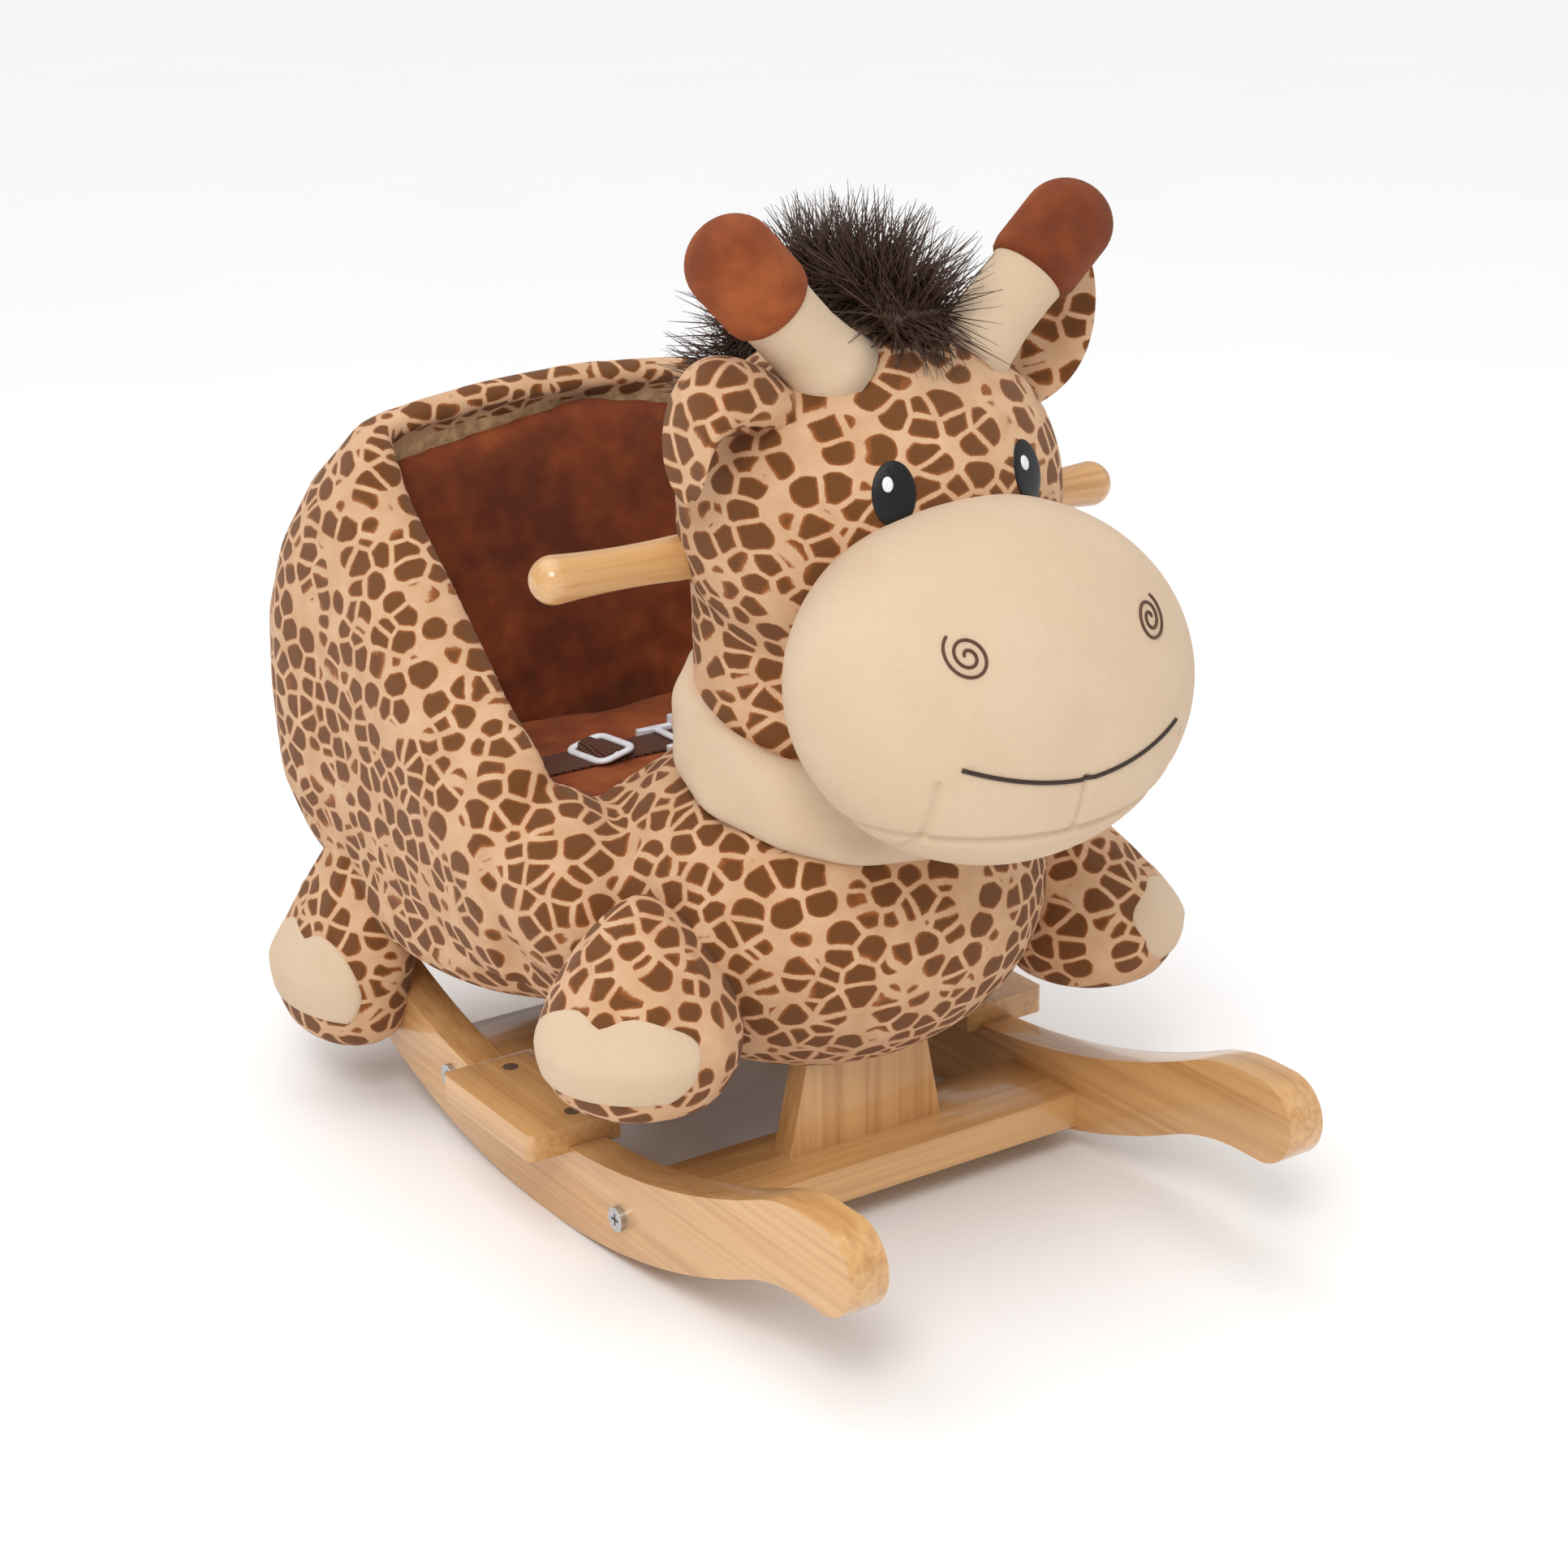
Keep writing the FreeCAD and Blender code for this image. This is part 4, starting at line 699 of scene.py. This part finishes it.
# ---------------------------------------------------------------- neck collar
# A padded band of cream fleece, lower at the front than at the back.
# It is sewn round the foot of the neck, where the gathering leaves shallow folds.
COLLAR_WIDE, COLLAR_DEEP, COLLAR_Y = 0.0735, 0.0635, -0.066


def collar_ring(turn):
    """One section of the band: tall, thin, and bowed outwards."""
    rise = 0.5 + 0.5 * math.sin(turn)
    low, high = 0.195 + 0.047 * rise, 0.236 + 0.044 * rise
    ring = []
    for around in full_turn(28):
        lean = math.copysign(abs(math.cos(around)) ** 0.8, math.cos(around))
        climb = math.copysign(abs(math.sin(around)) ** 0.7, math.sin(around))
        fold = 0.0011 * math.sin(7 * turn + 2.2 * climb) + 0.0008 * math.sin(13 * turn - 3 * climb)
        out = 0.0070 * lean + 0.006 * (1 - climb) * 0.5 + fold
        ring.append(((COLLAR_WIDE + out) * math.cos(turn), COLLAR_Y + (COLLAR_DEEP + out) * math.sin(turn),
                     (low + high) / 2 + (high - low) / 2 * climb))
    return ring


collar = lofted("neck collar", [collar_ring(turn) for turn in full_turn(120)], closed=True)
shown(collar, CREAM, replaces=["neck_collar"])


# ---------------------------------------------------------------- horns
# Cream fleece stalks, stuffed and sewn to the crown, leaning out to the sides.
# Each carries a plump cap of rust plush.
def turned(name, profile, root, direction):
    """Stuffed round form from (distance along, radius) points, about a leaning axis."""
    direction = direction.normalized()
    across = Vector((0, 1, 0))
    other = direction.cross(across).normalized()
    spokes = [across * math.cos(turn) + other * math.sin(turn) for turn in full_turn(56)]
    return lofted(name, [[root + direction * along + spoke * max(radius, 1e-5) for spoke in spokes]
                         for along, radius in profile])


def rounded_cap(start, end, radius, lip):
    """Profile of a plump thimble: pulled in at its seam, round at its end."""
    stops = [(start, radius - lip * 1.4), (start + 0.002, radius - lip * 0.5), (start + 0.006, radius)]
    dome = radius * 0.92
    for turn in np.linspace(0.0, math.pi / 2, 14):
        stops.append((end - dome + dome * math.sin(turn), radius * math.cos(turn) + 1e-5))
    return stops


HORN_X, HORN_Y, HORN_Z, HORN_LEAN = 0.034, -0.105, 0.415, math.radians(45)
STALK_PROFILE = ((0.0, 0.0225), (0.012, 0.0190), (0.026, 0.0172), (0.042, 0.0172), (0.054, 0.0180),
                 (0.060, 0.017))
for side, where in ((1, "left"), (-1, "right")):
    way = Vector((side * math.sin(HORN_LEAN), -0.05, math.cos(HORN_LEAN)))
    root = Vector((side * HORN_X, HORN_Y, HORN_Z))
    stalk = turned(f"{where} horn stalk", STALK_PROFILE, root, way)
    shown(stalk, CREAM, replaces=[f"horn_shaft_{where}"])
    cap_profile = rounded_cap(start=0.049, end=0.098, radius=0.0208, lip=0.002)
    cap = turned(f"{where} horn cap", cap_profile, root, way)
    shown(cap, RUST, replaces=[f"horn_bulb_{where}"])


# ---------------------------------------------------------------- ears
# Two-layer leaves of printed plush, sewn to the sides of the head.
# The left one stands up and out, the right one curls over forwards.
def ear(name, root, along, facing, length, half_wide, cup):
    """Cupped leaf: a flat oval whose sides curl forwards."""
    along, facing = Vector(along).normalized(), Vector(facing).normalized()
    across = along.cross(facing).normalized()
    rings = []
    for share in np.linspace(0.0, 1.0, 30):
        width = half_wide * (math.sin(math.pi * (0.12 + 0.86 * share)) ** 0.75)
        spine = Vector(root) + along * (length * share)
        ring = []
        for turn in full_turn(32):
            reach, thick = math.cos(turn), 0.0042 * math.sin(turn) * math.sqrt(max(0.03, 1 - share ** 6))
            curl = cup * reach * reach * width
            ring.append(spine + across * (width * reach) + facing * (curl + thick))
        rings.append(ring)
    return lofted(name, rings)


left_ear = ear("left ear", root=(0.066, -0.080, 0.388), along=(0.78, -0.05, 0.80), facing=(-0.25, -1, 0.1),
               length=0.082, half_wide=0.0250, cup=0.38)
shown(left_ear, HEAD_PRINT, replaces=["ear_left"])


def folded_ear(name, root, reach, roll, thick):
    """Plump leaf standing out sideways from its root, its end curling over forwards and down."""
    straight, curled = 0.45, 0.55
    rings = []
    for share in np.linspace(0.0, 1.0, 40):
        bend = roll * max(0.0, share - straight) / curled
        sideways = -reach * (min(share, straight) + curled * math.sin(bend) / roll)
        height = 0.010 * math.sin(math.pi * share) - curled * reach * (1 - math.cos(bend)) / roll
        spine = Vector(root) + Vector((sideways, -0.012 * share, height))
        girth = 0.72 + 0.38 * math.sin(math.pi * min(1.0, share * 0.85 + 0.12))
        girth *= math.sqrt(max(0.02, 1 - max(0.0, share - 0.80) ** 2 / 0.0402))
        ring = []
        for turn in full_turn(44):
            valley = 1 - 0.45 * math.exp(-((turn - 1.35 * math.pi) / 0.40) ** 2)
            section = Vector((0, math.cos(turn) * thick * 1.2, math.sin(turn) * thick))
            ring.append(spine + section * girth * valley)
        rings.append(ring)
    return lofted(name, rings)


right_ear = folded_ear("right ear", root=(-0.058, -0.096, 0.402), reach=0.074, roll=1.9, thick=0.0165)
shown(right_ear, HEAD_PRINT, replaces=["ear_right"])


# ---------------------------------------------------------------- mane
# Dark brown long pile fur on a narrow padded strip.
# It is sewn from the brow over the crown and down the back of the head.
def fur_finish():
    """Strands mottled at random between near black and warm brown."""
    fur = Finish("mane fur", 0.55)
    strand = fur.noise(500.0, 2)
    fur.colour(fur.ramp(strand, [(0.3, tone(34, 20, 13)), (0.7, tone(84, 56, 40))]))
    fur.bump(strand, 0.0002, 0.5)
    fur.sheen(0.25, 0.35, tone(160, 120, 96))
    return fur.material


FUR = fur_finish()
MANE_MIDDLE = Vector((0, -0.073, 0.368))
STRIP_START, STRIP_END = math.radians(124), math.radians(2)
STRIP_HALF_WIDE, STRIP_HALF_THICK = 0.016, 0.008
strip_rings = []
for turn in np.linspace(STRIP_START, STRIP_END, 40):
    reach = 0.087 - 0.006 * math.sin(turn)
    spine = MANE_MIDDLE + Vector((0, math.cos(turn) * reach, math.sin(turn) * reach))
    outward_way = Vector((0, math.cos(turn), math.sin(turn)))
    strip_rings.append([spine + Vector((STRIP_HALF_WIDE * math.cos(around), 0, 0)) +
                        outward_way * (STRIP_HALF_THICK * math.sin(around)) for around in full_turn(20)])
strip = lofted("mane", strip_rings)


TUFT_SIZES = (("Strands per square metre", 260000.0), ("Strand length", 0.030), ("Strand radius", 0.00055),
              ("Lean", 0.62))


def tuft_tree(material):
    """Geometry tree: leaning tapered strands scattered over a strip, kept with the strip itself."""
    tree = bpy.data.node_groups.new("mane tufts", "GeometryNodeTree")
    tree.interface.new_socket("Geometry", in_out="INPUT", socket_type="NodeSocketGeometry")
    for title, value in TUFT_SIZES:
        socket = tree.interface.new_socket(title, in_out="INPUT", socket_type="NodeSocketFloat")
        socket.default_value = value
    tree.interface.new_socket("Geometry", in_out="OUTPUT", socket_type="NodeSocketGeometry")
    add, join = tree.nodes.new, tree.links.new
    inlet, outlet = add("NodeGroupInput"), add("NodeGroupOutput")
    scatter = add("GeometryNodeDistributePointsOnFaces")
    scatter.inputs["Seed"].default_value = 7
    join(inlet.outputs["Geometry"], scatter.inputs["Mesh"])
    join(inlet.outputs["Strands per square metre"], scatter.inputs["Density"])
    strand = add("GeometryNodeMeshCone")
    strand.inputs["Vertices"].default_value = 4
    strand.inputs["Side Segments"].default_value = 2
    strand.inputs["Radius Top"].default_value = 0.00008
    join(inlet.outputs["Strand radius"], strand.inputs["Radius Bottom"])
    join(inlet.outputs["Strand length"], strand.inputs["Depth"])
    wobble = add("FunctionNodeRandomValue")
    wobble.data_type = "FLOAT_VECTOR"
    wobble.inputs["Seed"].default_value = 11
    reach = add("ShaderNodeMath")
    reach.operation = "MULTIPLY"
    reach.inputs[1].default_value = -1.0
    join(inlet.outputs["Lean"], reach.inputs[0])
    join(reach.outputs[0], wobble.inputs[0])
    join(inlet.outputs["Lean"], wobble.inputs[1])
    lean = add("FunctionNodeRotateEuler")
    lean.space = "LOCAL"
    join(scatter.outputs["Rotation"], lean.inputs["Rotation"])
    join(wobble.outputs[0], lean.inputs["Rotate By"])
    size = add("FunctionNodeRandomValue")
    size.inputs["Seed"].default_value = 5
    size.inputs[2].default_value, size.inputs[3].default_value = 0.45, 1.2
    copies = add("GeometryNodeInstanceOnPoints")
    join(scatter.outputs["Points"], copies.inputs["Points"])
    join(strand.outputs["Mesh"], copies.inputs["Instance"])
    join(lean.outputs["Rotation"], copies.inputs["Rotation"])
    join(size.outputs[1], copies.inputs["Scale"])
    together, real = add("GeometryNodeJoinGeometry"), add("GeometryNodeRealizeInstances")
    painted = add("GeometryNodeSetMaterial")
    join(copies.outputs["Instances"], together.inputs[0])
    join(inlet.outputs["Geometry"], together.inputs[0])
    join(together.outputs[0], real.inputs[0])
    join(real.outputs[0], painted.inputs["Geometry"])
    painted.inputs["Material"].default_value = material
    join(painted.outputs[0], outlet.inputs[0])
    return tree


grown = strip.modifiers.new("tufts", "NODES")
grown.node_group = tuft_tree(FUR)
settled(strip)
shown(strip, FUR, replaces=["mane"])


# ---------------------------------------------------------------- feet
# Four feet of printed plush, stuffed and sewn to the body.
# Each has a two-lobed toe patch of cream fleece sewn to its front.
def toe_outline(turn):
    """Reach of a toe patch: two round lobes above, a straight edge below."""
    up, straight_edge = math.sin(turn), 0.62
    lobes = 1.0 - 0.26 * math.exp(-((turn - math.pi / 2) / 0.22) ** 2)
    return lobes if up > 0 else min(lobes, straight_edge / max(straight_edge, -up))


def boot(name, centre, radii, lean_x, lean_y, leg):
    """Plump foot whose leg narrows as it rises, gathered in folds where it meets the body."""
    foot = egg(name, centre, radii, fineness=6)
    points = points_of(foot) - centre
    rise = np.clip(points[:, 2] / radii[2], 0, 1)
    narrow = 1 - 0.34 * rise ** 2
    around = np.arctan2(points[:, 1], points[:, 0])
    folds = 1 + 0.035 * rise * np.sin(around * 9)
    sole = -0.62 * radii[2]
    flat = np.where(points[:, 2] < sole, sole + 0.62 * (points[:, 2] - sole), points[:, 2])
    points[:, 0] = points[:, 0] * narrow * folds + lean_x * rise
    points[:, 1] = points[:, 1] * narrow * folds + lean_y * rise
    points[:, 2] = flat + (leg - radii[2] * 0.4) * np.clip(rise - 0.2, 0, 1) ** 1.5
    move_points(foot, points + centre)
    return foot


# Place, centre, radii, way into the toes, half size of the toe patch, and lean and height of the leg.
FEET = (("front", (0.131, -0.0915, 0.124), (0.047, 0.046, 0.041), (-0.88, 0.47, 0.0), (0.041, 0.0225),
         (-0.012, 0.016, 0.042)),
        ("rear", (0.150, 0.175, 0.072), (0.032, 0.051, 0.050), (-0.92, 0.38, 0.0), (0.039, 0.028),
         (-0.012, -0.016, 0.074)))
toe_patches = []
for place, (x, y, z), radii, facing, toe_half, leg in FEET:
    for side, where in ((1, "left"), (-1, "right")):
        foot = boot(f"{place} {where} foot", (side * x, y, z), radii, side * leg[0], leg[1], leg[2])
        foot_skin = skin_tree(foot)
        shown(foot, GIRAFFE_PRINT, replaces=[f"foot_{place}_{where}"])
        into_toes = (side * facing[0], facing[1], facing[2])
        toe_patches.append(badge(f"{place} {where} toe", foot_skin, (side * x, y, z), toe_half, 0.0012, 0.0006,
                                 into_toes, toe_outline))
shown(joined("toe patches", toe_patches), CREAM, replaces=["toe_patches"])


# ---------------------------------------------------------------- lap belt
# Two straps of ribbed brown webbing, one with the socket of a white plastic buckle, one with its tongue.
# A white plastic frame slides on each strap.
def webbing_finish():
    """Fine diagonal ribs of a woven strap."""
    web = Finish("brown webbing", 0.7)
    waves = []
    for direction, scale in (("X", (190, 0, 0)), ("DIAGONAL", (120, 240, 120))):
        wave = web.nodes.new("ShaderNodeTexWave")
        wave.bands_direction = direction
        wave.inputs["Scale"].default_value = 1.0
        web.links.new(web.mapped(scale), wave.inputs["Vector"])
        waves.append(wave.outputs["Fac"])
    height = web.maths("MULTIPLY", *waves)
    web.colour(web.ramp(height, [(0.05, tone(56, 28, 16)), (0.6, tone(128, 76, 50))]))
    web.bump(height, 0.0005, 0.9)
    return web.material


def white_plastic():
    """Moulded plastic with a faint flow mottle."""
    plastic = Finish("white plastic", 0.3)
    flow = plastic.noise(140.0, 2)
    plastic.colour(plastic.ramp(flow, [(0.3, tone(226, 226, 232)), (0.7, tone(244, 244, 248))]))
    plastic.bump(plastic.noise(2600.0, 1), 0.00004, 0.4)
    return plastic.material


WEBBING, PLASTIC = webbing_finish(), white_plastic()
STRAPS = (("belt_right", "tongue_side"), ("belt_left", "rocker"))
SOLID_FITTINGS = (("buckle_socket", "rocker"), ("buckle_tongue", "tongue_side"))
for node, body in STRAPS:
    shown(eased(node, 0.0005), WEBBING, body, [node])
for node, body in SOLID_FITTINGS:
    shown(eased(node, 0.0007), PLASTIC, body, [node])


def ring_frame(name, bend, half_long, half_wide, wire):
    """Rounded plastic frame with a middle bar, its wire round in section, laid at a bend's place and lean."""
    corner = 0.005
    line = []
    for cx, cy, start in ((1, 1, 0.0), (-1, 1, 0.5), (-1, -1, 1.0), (1, -1, 1.5)):
        for step in np.linspace(0, 0.5, 7):
            angle = (start + step) * math.pi
            line.append(Vector((cx * (half_long - corner) + corner * math.cos(angle),
                                cy * (half_wide - corner) + corner * math.sin(angle), 0)))
    outline = [bend @ point for point in line]
    up = (bend.to_3x3() @ Vector((0, 0, 1))).normalized()
    rings = []
    for step, point in enumerate(outline):
        ahead = (outline[(step + 1) % len(outline)] - outline[step - 1]).normalized()
        aside = up.cross(ahead)
        rings.append([point + aside * (wire * 1.15 * math.cos(around)) + up * (wire * 0.75 * math.sin(around))
                      for around in full_turn(14)])
    frame_ring = lofted(name + " ring", rings, closed=True)
    bar = corded(name + " bar", [bend @ Vector((0, y, 0)) for y in np.linspace(-half_wide, half_wide, 9)],
                 wire * 0.9, 12)
    return joined(name, [frame_ring, bar])


def webbing_over(name, bend, half_long, half_wide, lift):
    """Short run of webbing that comes up through the frame, over its middle bar and down again."""
    rings = []
    for x in np.linspace(-half_long, half_long, 25):
        height = lift * math.exp(-(x / (half_long * 0.62)) ** 4) - 0.0022
        rings.append([bend @ Vector((x, y, height + z)) for y, z in (
            (-half_wide, 0.0), (half_wide, 0.0), (half_wide, 0.0014), (-half_wide, 0.0014))])
    return lofted(name, rings)


STRAP_LOW, STRAP_HIGH = (Vector(corner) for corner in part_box("belt_right"))
STRAP_MIDDLE_Y, STRAP_TOP = (STRAP_LOW.y + STRAP_HIGH.y) / 2, STRAP_HIGH.z
FRAME_INSET = 0.0034
FRAMES = (("belt_slide_right", "right_adjuster", math.radians(9), math.radians(-9)),
          ("belt_slide_left", "left_adjuster", math.radians(-6), math.radians(6)))
for node, body, turn, tip in FRAMES:
    low, high = (Vector(corner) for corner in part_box(node))
    middle = Vector(((low.x + high.x) / 2, STRAP_MIDDLE_Y, STRAP_TOP + 0.0024))
    half_long, half_wide = (high.x - low.x) / 2 - FRAME_INSET, (high.y - low.y) / 2 - FRAME_INSET
    bend = Matrix.Translation(middle) @ Matrix.Rotation(turn, 4, "Z") @ Matrix.Rotation(tip, 4, "Y")
    ring = ring_frame(node.replace("_", " "), bend, half_long, half_wide, wire=0.0019)
    shown(ring, PLASTIC, body, [node])
    loop = webbing_over(node.replace("_", " ") + " webbing", bend, half_long * 0.86, 0.0122, lift=0.0034)
    shown(loop, WEBBING, body, smooth=False)


# ---------------------------------------------------------------- floor, light and camera
# A plain pale studio floor of matt paper that runs out of sight.
# Two broad soft lights, a wide overhead glow, and one fixed camera.
def studio_floor():
    """Matt paper with the slightest unevenness."""
    paper = Finish("pale floor", 0.95)
    greys = [(0.3, (0.955, 0.955, 0.955, 1)), (0.7, (0.965, 0.965, 0.965, 1))]
    paper.colour(paper.ramp(paper.noise(3.0), greys))
    return paper.material


FLOOR_HALF = 12.0
floor_mesh = bpy.data.meshes.new("floor")
floor_corners = [(x * FLOOR_HALF, y * FLOOR_HALF, 0) for x, y in ((-1, -1), (1, -1), (1, 1), (-1, 1))]
floor_mesh.from_pydata(floor_corners, [], [(0, 1, 2, 3)])
floor = linked("floor", floor_mesh)
floor.data.materials.append(studio_floor())


def soft_light(name, place, aim, wide, power):
    lamp = bpy.data.lights.new(name, "AREA")
    lamp.size, lamp.energy = wide, power
    item = linked(name, lamp)
    item.location = place
    item.rotation_euler = (Vector(aim) - Vector(place)).to_track_quat("-Z", "Y").to_euler()
    return item


LIGHT_AIM = (0, -0.02, 0.22)
soft_light("key", (-1.5, -1.7, 2.2), LIGHT_AIM, wide=1.0, power=34)
soft_light("fill", (2.2, -1.4, 1.4), LIGHT_AIM, wide=1.8, power=6)
overhead = bpy.data.lights.new("overhead", "SUN")
overhead.energy, overhead.angle = 1.5, math.radians(70)
overhead_item = linked("overhead", overhead)
overhead_item.rotation_euler = (math.radians(-12), math.radians(-10), 0)
world = bpy.data.worlds.new("studio")
bpy.context.scene.world = world
bpy.context.scene.view_settings.view_transform = "Standard"
world.use_nodes = True
surround = world.node_tree.nodes["Background"]
surround.inputs["Color"].default_value = (1, 1, 1, 1)
surround.inputs["Strength"].default_value = 0.5

CAMERA_PLACE, CAMERA_AIM = (-0.7714, -1.1422, 0.6859), Vector((0, -0.0278, 0.2089))
camera_data = bpy.data.cameras.new("camera")
camera_data.lens, camera_data.sensor_width = 68.64, 36
camera_data.shift_x, camera_data.shift_y = -0.0092, -0.0129
camera = linked("camera", camera_data)
camera.location = CAMERA_PLACE
camera.rotation_euler = (CAMERA_AIM - camera.location).to_track_quat("-Z", "Y").to_euler()
bpy.context.scene.camera = camera

bpy.context.view_layer.update()
